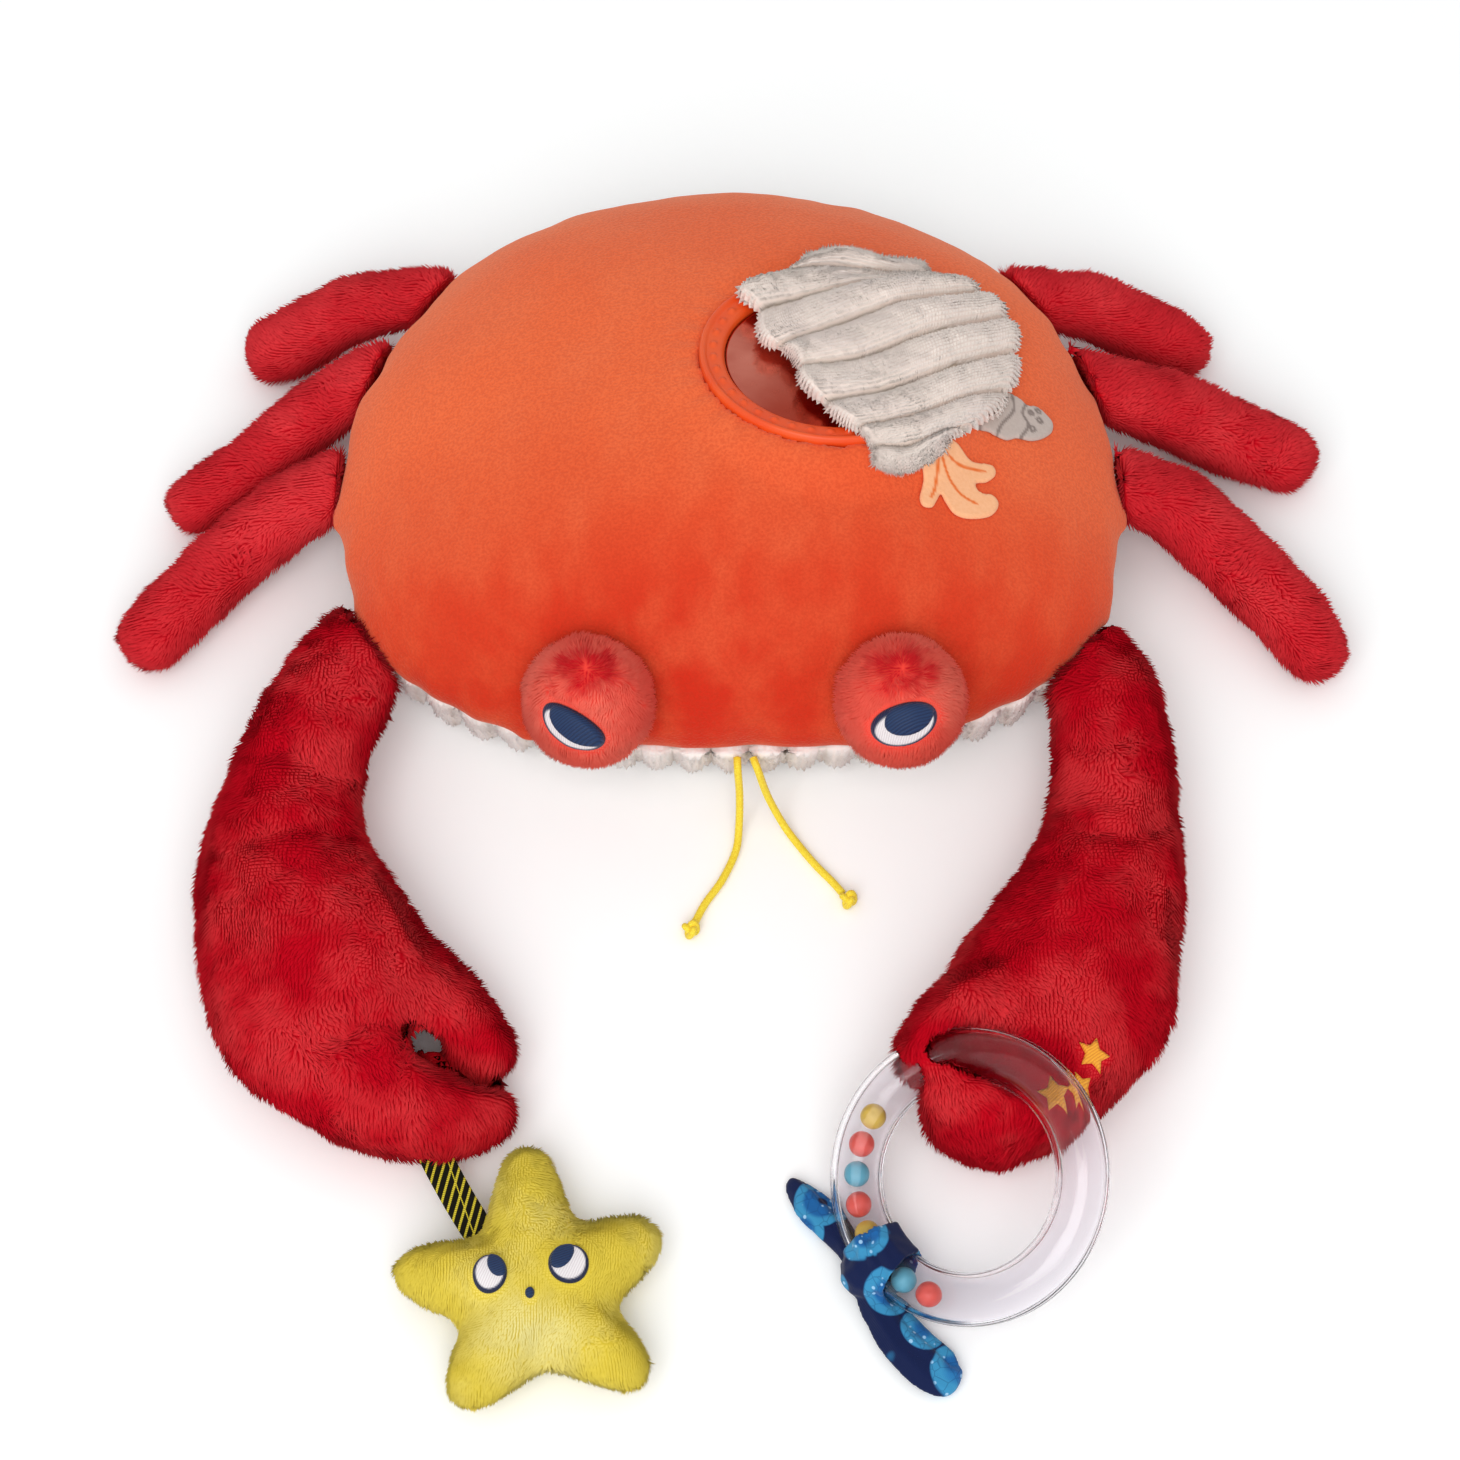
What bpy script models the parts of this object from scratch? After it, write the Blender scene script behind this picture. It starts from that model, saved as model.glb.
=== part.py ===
"""Plush crab activity toy, lying on its belly on the floor.

A stuffed velour crab whose two claws reach forward. It carries a soft mirror under a ribbed flap,
two printed felt shapes, two knotted cords at the mouth, a small plush starfish on a strap and a
clear rattle ring that is threaded through the right claw.
Units are metres. +X is to the right as seen from above with the eyes at the bottom of the view,
-Y is the way the crab faces and +Z is up. The origin is on the floor under the middle of the belly.
"""

import math

import bmesh
import bpy
from mathutils import Matrix, Vector

# Clearances between separate pieces
GAP = 0.0003
TRIM_GAP = 0.0004
FLOOR_GAP = 0.0003

# Body: a stuffed velour dome over a ribbed belly, sewn together at the seam
BODY_WIDTH = 0.260
BODY_FRONT = 0.0905
BODY_BACK = 0.1315
BODY_MIDDLE_Y = -0.010
FRONT_SQUARENESS = 2.6
BACK_SQUARENESS = 2.2
SEAM_HEIGHT = 0.028
DOME_RISE = 0.060
DOME_PEAK = 1.6
DOME_ROUND = 0.56
CROWN_FORWARD = 0.015
DOME_SIDES = 40
DOME_ROWS = 18
RIB_PITCH = 0.012
RIB_DEPTH = 0.0042
BELLY_SAG = 0.0033
BELLY_PROUD = 0.0035
BELLY_SQUARENESS = 4.2
BELLY_ROWS = 6
COLUMNS_PER_RIB = 4

# Mirror: a soft plastic frame, set in a round seat in the dome
MIRROR_X = 0.0318
MIRROR_Y = 0.0182
MIRROR_TILT = math.radians(15.0)
MIRROR_LEAN = math.radians(4.0)
FRAME_RADIUS = 0.042
FRAME_BAND = 0.0085
FRAME_HEIGHT = 0.0052
FRAME_SEAT = 0.0034
FRAME_SHOULDER = 0.62
GLASS_HEIGHT = 0.0020
MIRROR_SIDES = 32

# Flap: a ribbed cloth over the mirror, each rib given as its left and right end
FLAP_TURN = math.radians(15.5)
FLAP_RIB_PITCH = 0.0102
FLAP_GROOVE = 0.0028
FLAP_CREST = 0.0066
FLAP_FIRST_RIB = -0.0510
FLAP_FALL = 0.030
FLAP_TUCK = 0.8
FLAP_EDGE = 0.7
FLAP_COLUMNS = 5
ROWS_PER_RIB = 4
FLAP_ENDS = (
    (0.003, 0.027),
    (0.004, 0.049),
    (0.004, 0.058),
    (-0.004, 0.062),
    (-0.008, 0.0635),
    (-0.010, 0.0620),
    (-0.0175, 0.0545),
    (-0.0240, 0.0445),
    (0.000, 0.034),
)

# Felt shapes beside the flap
FELT_THICKNESS = 0.0012
FELT_REACH = 1.3
CORAL_ROOT = (0.0330, -0.0370)
CORAL_OUTLINE = (
    (-0.003, 0.005), (0.005, 0.006), (0.011, 0.001), (0.019, 0.0005), (0.0195, -0.005),
    (0.0125, -0.006), (0.018, -0.011), (0.0195, -0.016), (0.013, -0.020), (0.006, -0.017),
    (0.003, -0.012), (0.001, -0.016), (-0.004, -0.0155), (-0.0045, -0.007),
)
SHELL_ROOT = (0.0500, -0.0120)
SHELL_OUTLINE = (
    (-0.006, 0.002), (0.004, 0.009), (0.012, 0.0105), (0.020, 0.006), (0.0255, 0.000),
    (0.0215, -0.0045), (0.012, -0.005), (0.003, -0.006),
)

# Limbs: (x, y) from where the limb leaves the seam, half width, half height at each station
LIMB_SIDES = 10
LIMB_LIFT = (1.0, 1.0, 0.45)
TIP_SHARE = 0.55
TIP_RINGS = (0.5, 0.82, 0.97)
LEFT_CLAW_ANGLE = math.radians(202.6)
LEFT_CLAW = (
    (0.016, 0.014, 0.0180, 0.0080),
    (-0.0045, -0.006, 0.0200, 0.0095),
    (-0.016, -0.032, 0.0210, 0.0165),
    (-0.0225, -0.057, 0.0247, 0.0200),
    (-0.0215, -0.084, 0.0300, 0.0225),
    (-0.013, -0.110, 0.0370, 0.0235),
    (-0.003, -0.134, 0.0370, 0.0225),
    (0.010, -0.155, 0.0225, 0.0195),
    (0.030, -0.1620, 0.0150, 0.0150),
    (0.0525, -0.157, 0.0085, 0.0100),
)
LEFT_PINCER = (
    (-0.006, -0.114, 0.0230, 0.0190),
    (0.014, -0.121, 0.0210, 0.0185),
    (0.029, -0.1285, 0.0165, 0.0165),
    (0.040, -0.137, 0.0115, 0.0135),
    (0.0490, -0.1455, 0.0080, 0.0100),
)
RIGHT_CLAW_ANGLE = math.radians(336.4)
RIGHT_CLAW = (
    (-0.016, 0.014, 0.0180, 0.0080),
    (0.002, -0.010, 0.0190, 0.0095),
    (0.006, -0.035, 0.0205, 0.0165),
    (0.0055, -0.060, 0.0225, 0.0200),
    (0.000, -0.086, 0.0270, 0.0225),
    (-0.009, -0.110, 0.0335, 0.0240),
    (-0.018, -0.132, 0.0355, 0.0250),
    (-0.029, -0.158, 0.0225, 0.0255),
    (-0.044, -0.1610, 0.0170, 0.0265),
    (-0.0565, -0.1560, 0.0110, 0.0240),
)
RIGHT_PINCER = (
    (-0.018, -0.121, 0.0220, 0.0210),
    (-0.034, -0.128, 0.0175, 0.0240),
    (-0.047, -0.1355, 0.0135, 0.0265),
    (-0.056, -0.144, 0.0105, 0.0265),
    (-0.063, -0.1530, 0.0080, 0.0230),
)
LEGS = (
    ("left_back_leg", math.radians(137.0), (
        (0.016, -0.012, 0.0115, 0.0070),
        (-0.003, 0.000, 0.0120, 0.0085),
        (-0.032, -0.001, 0.0128, 0.0115),
        (-0.052, -0.009, 0.0128, 0.0120),
        (-0.068, -0.016, 0.0105, 0.0100),
    )),
    ("left_middle_leg", math.radians(154.6), (
        (0.018, 0.008, 0.0110, 0.0070),
        (0.000, 0.002, 0.0115, 0.0085),
        (-0.020, -0.009, 0.0120, 0.0115),
        (-0.041, -0.026, 0.0122, 0.0120),
        (-0.056, -0.037, 0.0115, 0.0110),
        (-0.068, -0.045, 0.0095, 0.0090),
    )),
    ("left_front_leg", math.radians(173.9), (
        (0.018, 0.004, 0.0130, 0.0075),
        (0.000, 0.001, 0.0135, 0.0090),
        (-0.018, -0.006, 0.0132, 0.0125),
        (-0.040, -0.023, 0.0130, 0.0125),
        (-0.057, -0.043, 0.0128, 0.0120),
        (-0.067, -0.059, 0.0105, 0.0100),
    )),
    ("right_back_leg", math.radians(43.2), (
        (-0.016, -0.010, 0.0115, 0.0070),
        (0.000, -0.001, 0.0120, 0.0085),
        (0.028, -0.001, 0.0128, 0.0115),
        (0.050, -0.008, 0.0126, 0.0120),
        (0.067, -0.015, 0.0100, 0.0095),
    )),
    ("right_middle_leg", math.radians(24.2), (
        (-0.018, 0.004, 0.0130, 0.0075),
        (0.000, 0.000, 0.0135, 0.0090),
        (0.027, -0.006, 0.0142, 0.0130),
        (0.049, -0.012, 0.0142, 0.0135),
        (0.064, -0.018, 0.0130, 0.0120),
        (0.076, -0.025, 0.0105, 0.0100),
    )),
    ("right_front_leg", math.radians(6.1), (
        (-0.018, 0.004, 0.0140, 0.0075),
        (0.000, 0.000, 0.0145, 0.0090),
        (0.020, -0.004, 0.0142, 0.0125),
        (0.039, -0.020, 0.0140, 0.0128),
        (0.057, -0.043, 0.0132, 0.0122),
        (0.069, -0.064, 0.0105, 0.0100),
    )),
)

# Eye stalks: stuffed balls on the front edge of the dome, with embroidered eyes
STALK_RADIUS = 0.0215
STALK_SPACING = 0.0986
STALK_CENTRE_X = 0.0046
STALK_AHEAD = 0.0045
STALK_HEIGHT = 0.055
EYE_WIDTH = 0.0225
EYE_HEIGHT = 0.0150
IRIS_SHARE = 0.74
LEFT_GAZE = (-0.23, -0.82, 0.52)
LEFT_EYE_TURN = math.radians(-28)
LEFT_IRIS_SHIFT = (0.0015, 0.0015)
RIGHT_GAZE = (0.02, -0.80, 0.60)
RIGHT_EYE_TURN = math.radians(20)
RIGHT_IRIS_SHIFT = (0.0022, 0.0018)
STITCH_HEIGHT = 0.0008
STALK_SIDES = 20
STALK_ROWS = 12
EYE_SIDES = 12

# Mouth cords
CORD_DIAMETER = 0.0026
CORD_SPACING = 0.0056
KNOT_RADIUS = 0.0030
KNOT_SIDES = 8
KNOT_ROWS = 6
LEFT_CORD_ROUTE = (
    (0.0023, -0.1014, 0.0280),
    (0.0025, -0.1052, 0.0262),
    (0.0031, -0.1082, 0.0150),
    (0.0029, -0.1140, 0.0045),
    (0.0018, -0.1215, 0.0016),
    (-0.0026, -0.1320, 0.0016),
    (-0.0080, -0.1405, 0.0016),
    (-0.0112, -0.1475, 0.0022),
)
RIGHT_CORD_ROUTE = (
    (0.0074, -0.1014, 0.0280),
    (0.0090, -0.1050, 0.0260),
    (0.0122, -0.1078, 0.0140),
    (0.0172, -0.1125, 0.0040),
    (0.0215, -0.1180, 0.0016),
    (0.0275, -0.1262, 0.0016),
    (0.0330, -0.1325, 0.0016),
    (0.0362, -0.1370, 0.0022),
)

# Starfish, hung from the left claw by a woven strap
STAR_FROM_CLAW = (0.060, -0.219)
STAR_TIP_RADIUS = 0.0435
STAR_VALLEY_RADIUS = 0.0255
STAR_ARMS = 5
STAR_TURN = math.radians(97.5)
STAR_HALF_HEIGHT = 0.0120
STAR_POINTEDNESS = 1.25
STAR_ROWS = 8
STAR_EYE_SPACING = 0.0262
STAR_EYE_AHEAD = 0.0025
STAR_MOUTH_BELOW = 0.0082
STAR_EYE_RADIUS = 0.0062
STAR_PUPIL_RADIUS = 0.0040
STAR_PUPIL_SHIFT = 0.0013
STAR_MOUTH_RADIUS = 0.0017
STRAP_WIDTH = 0.0095
STRAP_THICKNESS = 0.0011
STRAP_START = (0.027, -0.166)
STRAP_END = (0.046, -0.205)

# Rattle ring: a clear tube of two welded half shells with loose beads inside
RING_FROM_CLAW = (-0.0455, -0.187)
RING_RADIUS = 0.0370
TUBE_RADIUS = 0.0082
TUBE_WALL = 0.0018
RING_TILT = math.radians(33.0)
RING_DOWNHILL = math.radians(216.3)
RING_STEPS = 28
TUBE_SIDES = 8
BEAD_RADIUS = 0.0040
BEAD_SIDES = 8
BEAD_ROWS = 5
BEAD_COUNT = 8
BEAD_FIRST = math.radians(-72.0)
BEAD_STEP = math.radians(14.2)

# Tie: a printed cloth strip knotted round the lowest part of the ring
TIE_CLOTH = 0.0012
TIE_WRAP_SWEEP = math.radians(24.0)
TIE_WRAP_STEPS = 4
TIE_KNOT_RADIUS = 0.0085
TIE_KNOT_FLATNESS = 0.9
TIE_KNOT_SIDES = 10
TIE_KNOT_ROWS = 6
TIE_TAIL_SIDES = 6
TIE_KNOT_OUT = 0.0075
TIE_SHORT_TAIL = (
    (0.000, 0.002, 0.0045, 0.0040),
    (-0.007, 0.012, 0.0042, 0.0032),
    (-0.015, 0.022, 0.0062, 0.0030),
    (-0.024, 0.033, 0.0030, 0.0020),
)
TIE_LONG_TAIL = (
    (0.000, 0.000, 0.0055, 0.0045),
    (0.004, -0.010, 0.0066, 0.0040),
    (0.011, -0.021, 0.0080, 0.0038),
    (0.020, -0.030, 0.0080, 0.0034),
    (0.026, -0.036, 0.0045, 0.0024),
)

# Stars embroidered on the right claw: (x, y) from where the claw leaves the seam, radius
CLAW_STARS = (
    (-0.0065, -0.1530, 0.0052),
    (-0.0100, -0.1620, 0.0040),
)
CLAW_STAR_WAIST = 0.55

# Colour, roughness of each material
COLOURS = {
    "velour": ((0.83, 0.13, 0.05), 0.9),
    "ribbed_cloth": ((0.72, 0.65, 0.58), 0.95),
    "red_plush": ((0.56, 0.02, 0.02), 0.95),
    "coral_plush": ((0.70, 0.09, 0.07), 0.95),
    "soft_plastic": ((0.86, 0.13, 0.02), 0.45),
    "mirror_film": ((0.75, 0.72, 0.72), 0.1),
    "peach_felt": ((0.95, 0.51, 0.22), 0.9),
    "grey_felt": ((0.50, 0.44, 0.39), 0.9),
    "white_thread": ((0.85, 0.82, 0.82), 0.7),
    "navy_thread": ((0.02, 0.05, 0.15), 0.7),
    "yellow_thread": ((0.90, 0.45, 0.04), 0.7),
    "yellow_cord": ((0.86, 0.70, 0.02), 0.6),
    "yellow_plush": ((0.73, 0.60, 0.08), 0.95),
    "woven_strap": ((0.03, 0.03, 0.02), 0.8),
    "clear_plastic": ((0.80, 0.76, 0.84), 0.1),
    "printed_cloth": ((0.01, 0.03, 0.16), 0.85),
    "yellow_bead": ((0.70, 0.55, 0.08), 0.3),
    "coral_bead": ((0.80, 0.15, 0.10), 0.3),
    "blue_bead": ((0.15, 0.50, 0.62), 0.3),
}
BEAD_MATERIALS = (
    "yellow_bead", "coral_bead", "blue_bead", "coral_bead",
    "yellow_bead", "coral_bead", "blue_bead", "coral_bead",
)


def clear_scene():
    for obj in list(bpy.data.objects):
        bpy.data.objects.remove(obj, do_unlink=True)


def new_collection(name):
    collection = bpy.data.collections.new(name)
    bpy.context.scene.collection.children.link(collection)
    return collection


clear_scene()
CRAB = new_collection("plush_crab")
CUTTERS = new_collection("cutters")


def material(slot):
    found = bpy.data.materials.get(slot)
    if found:
        return found
    colour, roughness = COLOURS[slot]
    made = bpy.data.materials.new(slot)
    made.use_nodes = True
    shader = made.node_tree.nodes["Principled BSDF"]
    shader.inputs["Base Color"].default_value = (*colour, 1.0)
    shader.inputs["Roughness"].default_value = roughness
    shader.inputs["Metallic"].default_value = 0.0
    return made


def add_object(name, bm, slot=None):
    """Turn a bmesh into a part, or into a hidden cutter when no material is given.

    Quads are split the same way everywhere, so that a trimming surface keeps its gap all over.
    """
    bmesh.ops.triangulate(bm, faces=bm.faces, quad_method="FIXED")
    bmesh.ops.recalc_face_normals(bm, faces=bm.faces)
    if bm.calc_volume(signed=True) < 0:
        bmesh.ops.reverse_faces(bm, faces=bm.faces)
    mesh = bpy.data.meshes.new(name)
    bm.to_mesh(mesh)
    bm.free()
    mesh.shade_smooth()
    mesh.set_sharp_from_angle(angle=math.radians(50.0))
    obj = bpy.data.objects.new(name, mesh)
    if slot:
        mesh.materials.append(material(slot))
        CRAB.objects.link(obj)
    else:
        obj.hide_render = True
        obj.display_type = "WIRE"
        CUTTERS.objects.link(obj)
    return obj


def boolean(obj, other, operation, solver="EXACT"):
    step = obj.modifiers.new(operation.lower(), "BOOLEAN")
    step.object = other
    step.operation = operation
    step.solver = solver


def catmull(values, position):
    """A value on the smooth curve through evenly numbered values, at a position such as 2.4."""
    last = len(values) - 1
    index = min(int(position), last - 1)
    t = position - index
    a = values[max(index - 1, 0)]
    b = values[index]
    c = values[index + 1]
    d = values[min(index + 2, last)]
    return 0.5 * (2 * b + (c - a) * t + (2 * a - 5 * b + 4 * c - d) * t**2 + (3 * b - a - 3 * c + d) * t**3)


# Body surfaces


def seam_radius(angle, grow=0.0):
    """Distance from the middle of the body to its seam outline, in a direction."""
    across = abs(math.cos(angle)) / (BODY_WIDTH / 2 + grow)
    ahead = math.sin(angle) < 0
    length = (BODY_FRONT if ahead else BODY_BACK) + grow
    power = FRONT_SQUARENESS if ahead else BACK_SQUARENESS
    along = abs(math.sin(angle)) / length
    return (across**power + along**power) ** (-1 / power)


def seam_point(angle):
    radius = seam_radius(angle)
    return Vector((radius * math.cos(angle), BODY_MIDDLE_Y + radius * math.sin(angle), SEAM_HEIGHT))


def dome_rise(share, grow=0.0):
    """Height above the seam for a share of the way from the crown (0) to the seam (1)."""
    return (DOME_RISE + grow) * (1 - min(share, 1.0) ** DOME_PEAK) ** DOME_ROUND


def dome_height(x, y):
    share = 0.5
    for _ in range(20):
        ahead = y - BODY_MIDDLE_Y + CROWN_FORWARD * (1 - share**2)
        share = min(math.hypot(x, ahead) / seam_radius(math.atan2(ahead, x)), 1.0)
    return SEAM_HEIGHT + dome_rise(share)


def dome_mesh(grow, base):
    """The dome as a solid with a flat base; its surface lies a distance outside the real one."""
    bm = bmesh.new()
    bmesh.ops.create_uvsphere(bm, u_segments=DOME_SIDES, v_segments=DOME_ROWS, radius=1.0)
    lower = [v for v in bm.verts if v.co.z < -0.001]
    bmesh.ops.delete(bm, geom=lower, context="VERTS")
    for vert in bm.verts:
        share = min(math.hypot(vert.co.x, vert.co.y), 1.0)
        angle = math.atan2(vert.co.y, vert.co.x)
        radius = share * seam_radius(angle, grow)
        on_rim = vert.co.z < 0.001
        height = base if on_rim else SEAM_HEIGHT + dome_rise(share, grow)
        middle = BODY_MIDDLE_Y - CROWN_FORWARD * (1 - share**2)
        vert.co = (radius * math.cos(angle), middle + radius * math.sin(angle), height)
    bmesh.ops.holes_fill(bm, edges=[e for e in bm.edges if e.is_boundary])
    return bm


def belly_mesh(grow, top):
    """The ribbed lower half: columns along the ribs, rows from the front seam under to the back seam."""
    column_width = RIB_PITCH / COLUMNS_PER_RIB
    side_columns = int(BODY_WIDTH / 2 / column_width) + 1
    bm = bmesh.new()
    bmesh.ops.create_grid(bm, x_segments=2 * side_columns, y_segments=BELLY_ROWS, size=1.0)
    half_width = BODY_WIDTH / 2 + grow
    for vert in bm.verts:
        column = round(vert.co.x * side_columns)
        x = max(-half_width, min(half_width, column * column_width))
        edge = abs(column) == side_columns
        x = math.copysign(half_width, x) if edge else x
        share = min(abs(x) / half_width, 1.0)
        groove = RIB_DEPTH * (1 - abs(math.cos(math.pi * x / RIB_PITCH)))
        sweep = vert.co.y * math.pi / 2
        ahead = sweep < 0
        power = FRONT_SQUARENESS if ahead else BACK_SQUARENESS
        length = (BODY_FRONT if ahead else BODY_BACK) + grow
        half = length * (1 - share**power) ** (1 / power)
        proud = (BELLY_PROUD - groove) * 2 * abs(math.sin(sweep)) * math.cos(sweep)
        out = abs(math.sin(sweep)) ** (2 / BELLY_SQUARENESS)
        under = max(math.cos(sweep), 0.0) ** (2 / BELLY_SQUARENESS)
        full = (1 - share**BELLY_SQUARENESS) ** (1 / BELLY_SQUARENESS)
        depth = (SEAM_HEIGHT + BELLY_SAG + grow - groove) * full
        y = BODY_MIDDLE_Y + math.copysign(half * out + min(proud, half), sweep)
        at_seam = abs(vert.co.y) > 0.999
        height = max(min(SEAM_HEIGHT - depth * under, top), -grow)
        vert.co = (x, y, top if at_seam or edge else height)
    bmesh.ops.remove_doubles(bm, verts=bm.verts, dist=0.00005)
    bmesh.ops.holes_fill(bm, edges=[e for e in bm.edges if e.is_boundary])
    return bm


# Each gap is kept by trimming with the same surfaces, moved out a little
dome_trim = add_object("dome_trim", dome_mesh(TRIM_GAP, SEAM_HEIGHT - GAP))
belly_trim = add_object("belly_trim", belly_mesh(TRIM_GAP, SEAM_HEIGHT + GAP))


def trim_to_body(obj):
    """The exact solver drops some limbs where the two trimming surfaces nearly meet at the seam."""
    boolean(obj, dome_trim, "DIFFERENCE", "MANIFOLD")
    boolean(obj, belly_trim, "DIFFERENCE", "MANIFOLD")


# Mirror frame of reference


def mirror_frame():
    """Matrix whose Z is the mirror's axis and whose origin is the middle of its seat."""
    turn = Matrix.Rotation(-MIRROR_TILT, 4, "X") @ Matrix.Rotation(MIRROR_LEAN, 4, "Y")
    surface = Vector((MIRROR_X, MIRROR_Y, dome_height(MIRROR_X, MIRROR_Y)))
    normal = turn.to_3x3() @ Vector((0, 0, 1))
    return Matrix.Translation(surface - normal * FRAME_SEAT) @ turn


MIRROR = mirror_frame()


def cylinder_mesh(radius, low, high, sides, matrix):
    bm = bmesh.new()
    bmesh.ops.create_cone(
        bm, cap_ends=True, segments=sides, radius1=radius, radius2=radius, depth=high - low,
        matrix=matrix @ Matrix.Translation((0, 0, (low + high) / 2)),
    )
    return bm


def build_body():
    body = add_object("body_top", dome_mesh(0.0, SEAM_HEIGHT + GAP / 2), "velour")
    hole = cylinder_mesh(FRAME_RADIUS + GAP, 0, FRAME_RADIUS, MIRROR_SIDES, MIRROR)
    seat = add_object("mirror_seat", hole)
    boolean(body, seat, "DIFFERENCE")
    add_object("belly", belly_mesh(0.0, SEAM_HEIGHT - GAP / 2), "ribbed_cloth")


def spin(profile, steps):
    """Turn a closed outline of (radius, height) points once round the Z axis."""
    bm = bmesh.new()
    corners = [bm.verts.new((r, 0, z)) for r, z in profile]
    edges = [bm.edges.new((a, b)) for a, b in zip(corners, corners[1:] + corners[:1])]
    bmesh.ops.spin(
        bm, geom=corners + edges, cent=(0, 0, 0), axis=(0, 0, 1), angle=2 * math.pi, steps=steps,
        use_merge=True,
    )
    bmesh.ops.remove_doubles(bm, verts=bm.verts, dist=0.00001)
    return bm


def build_mirror():
    inner = FRAME_RADIUS - FRAME_BAND
    band = FRAME_BAND / 2
    middle = FRAME_RADIUS - band
    low = GAP
    shoulder = FRAME_HEIGHT * FRAME_SHOULDER
    profile = [(FRAME_RADIUS, low), (FRAME_RADIUS, shoulder)]
    profile += [
        (middle + band * math.cos(a), shoulder + (FRAME_HEIGHT - shoulder) * math.sin(a))
        for a in (math.radians(45), math.radians(90), math.radians(135))
    ]
    profile += [(inner, shoulder), (inner, low)]
    bm = spin(profile, MIRROR_SIDES)
    bmesh.ops.transform(bm, matrix=MIRROR, verts=bm.verts)
    add_object("mirror_frame", bm, "soft_plastic")
    disc = cylinder_mesh(inner - GAP, GAP, GLASS_HEIGHT, MIRROR_SIDES, MIRROR)
    add_object("mirror_disc", disc, "mirror_film")


# Flap over the mirror


def flap_base(x, y):
    """Height of the cloth's underside: over the felt on the dome, and over the mirror's frame."""
    rest = dome_height(x, y) + GAP + FELT_THICKNESS + GAP
    local = MIRROR.inverted() @ Vector((x, y, rest))
    away = math.hypot(local.x, local.y)
    onto_frame = min(1.0, FRAME_RADIUS / max(away, FRAME_RADIUS))
    over_frame = MIRROR @ Vector((local.x * onto_frame, local.y * onto_frame, FRAME_HEIGHT + 2 * GAP))
    lift = max(0.0, over_frame.z - dome_height(over_frame.x, over_frame.y) - GAP - FELT_THICKNESS - GAP)
    beyond = min(1.0, max(0.0, away - FRAME_RADIUS - FLAP_RIB_PITCH / 3) / FLAP_FALL)
    return rest + lift * (1 - beyond**2 * (3 - 2 * beyond))


def build_flap():
    """Ribs side by side, each with its own ends, in a cloth that is drawn up from its underside."""
    ribs = len(FLAP_ENDS)
    lefts = [ends[0] for ends in FLAP_ENDS]
    rights = [ends[1] for ends in FLAP_ENDS]
    centre = Vector((MIRROR_X, MIRROR_Y))
    bm = bmesh.new()
    bmesh.ops.create_grid(bm, x_segments=FLAP_COLUMNS, y_segments=ROWS_PER_RIB * ribs, size=1.0)
    thickness = {}
    for vert in bm.verts:
        rib = (vert.co.y + 1) / 2 * ribs - 0.5
        wave = abs(math.cos(math.pi * rib))
        station = max(0.0, min(rib, ribs - 1.0))
        tuck = (1 - wave) * FLAP_GROOVE * FLAP_TUCK
        left = catmull(lefts, station) + tuck
        right = catmull(rights, station) - tuck
        across = left + (right - left) * (vert.co.x + 1) / 2
        along = FLAP_FIRST_RIB + FLAP_RIB_PITCH * (rib + 0.5)
        x, y = centre + Matrix.Rotation(FLAP_TURN, 2) @ Vector((across, along))
        at_end = abs(vert.co.x) > 0.999
        vert.co = (x, y, flap_base(x, y))
        thickness[vert.co.to_tuple(6)] = (
            (FLAP_GROOVE + (FLAP_CREST - FLAP_GROOVE) * wave) * (FLAP_EDGE if at_end else 1.0)
        )
    drawn = bmesh.ops.extrude_face_region(bm, geom=list(bm.faces), use_keep_orig=True)["geom"]
    for vert in (g for g in drawn if isinstance(g, bmesh.types.BMVert)):
        vert.co.z += thickness[vert.co.to_tuple(6)]
    add_object("flap", bm, "ribbed_cloth")


# Flat shapes that follow a curved surface


def prism_mesh(outline, low, high, matrix):
    """A flat outline of (x, y) points drawn out from one height to another."""
    bm = bmesh.new()
    face = bm.faces.new([bm.verts.new((x, y, low)) for x, y in outline])
    drawn = bmesh.ops.extrude_face_region(bm, geom=[face], use_keep_orig=True)["geom"]
    moved = [g for g in drawn if isinstance(g, bmesh.types.BMVert)]
    bmesh.ops.translate(bm, vec=(0, 0, high - low), verts=moved)
    bmesh.ops.transform(bm, matrix=matrix, verts=bm.verts)
    return bm


def ellipse(width, height, centre, turn, sides):
    points = []
    for i in range(sides):
        angle = 2 * math.pi * i / sides
        flat = Vector((width / 2 * math.cos(angle), height / 2 * math.sin(angle)))
        flat.rotate(Matrix.Rotation(turn, 2))
        points.append((centre[0] + flat.x, centre[1] + flat.y))
    return points


def smooth_outline(points, per_span):
    """A closed smooth outline through a few points."""
    count = len(points)
    ring = [points[(i - 1) % count] for i in range(count + 3)]
    out = []
    for i in range(count * per_span):
        position = 1 + i / per_span
        out.append((catmull([p[0] for p in ring], position), catmull([p[1] for p in ring], position)))
    return out


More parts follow.
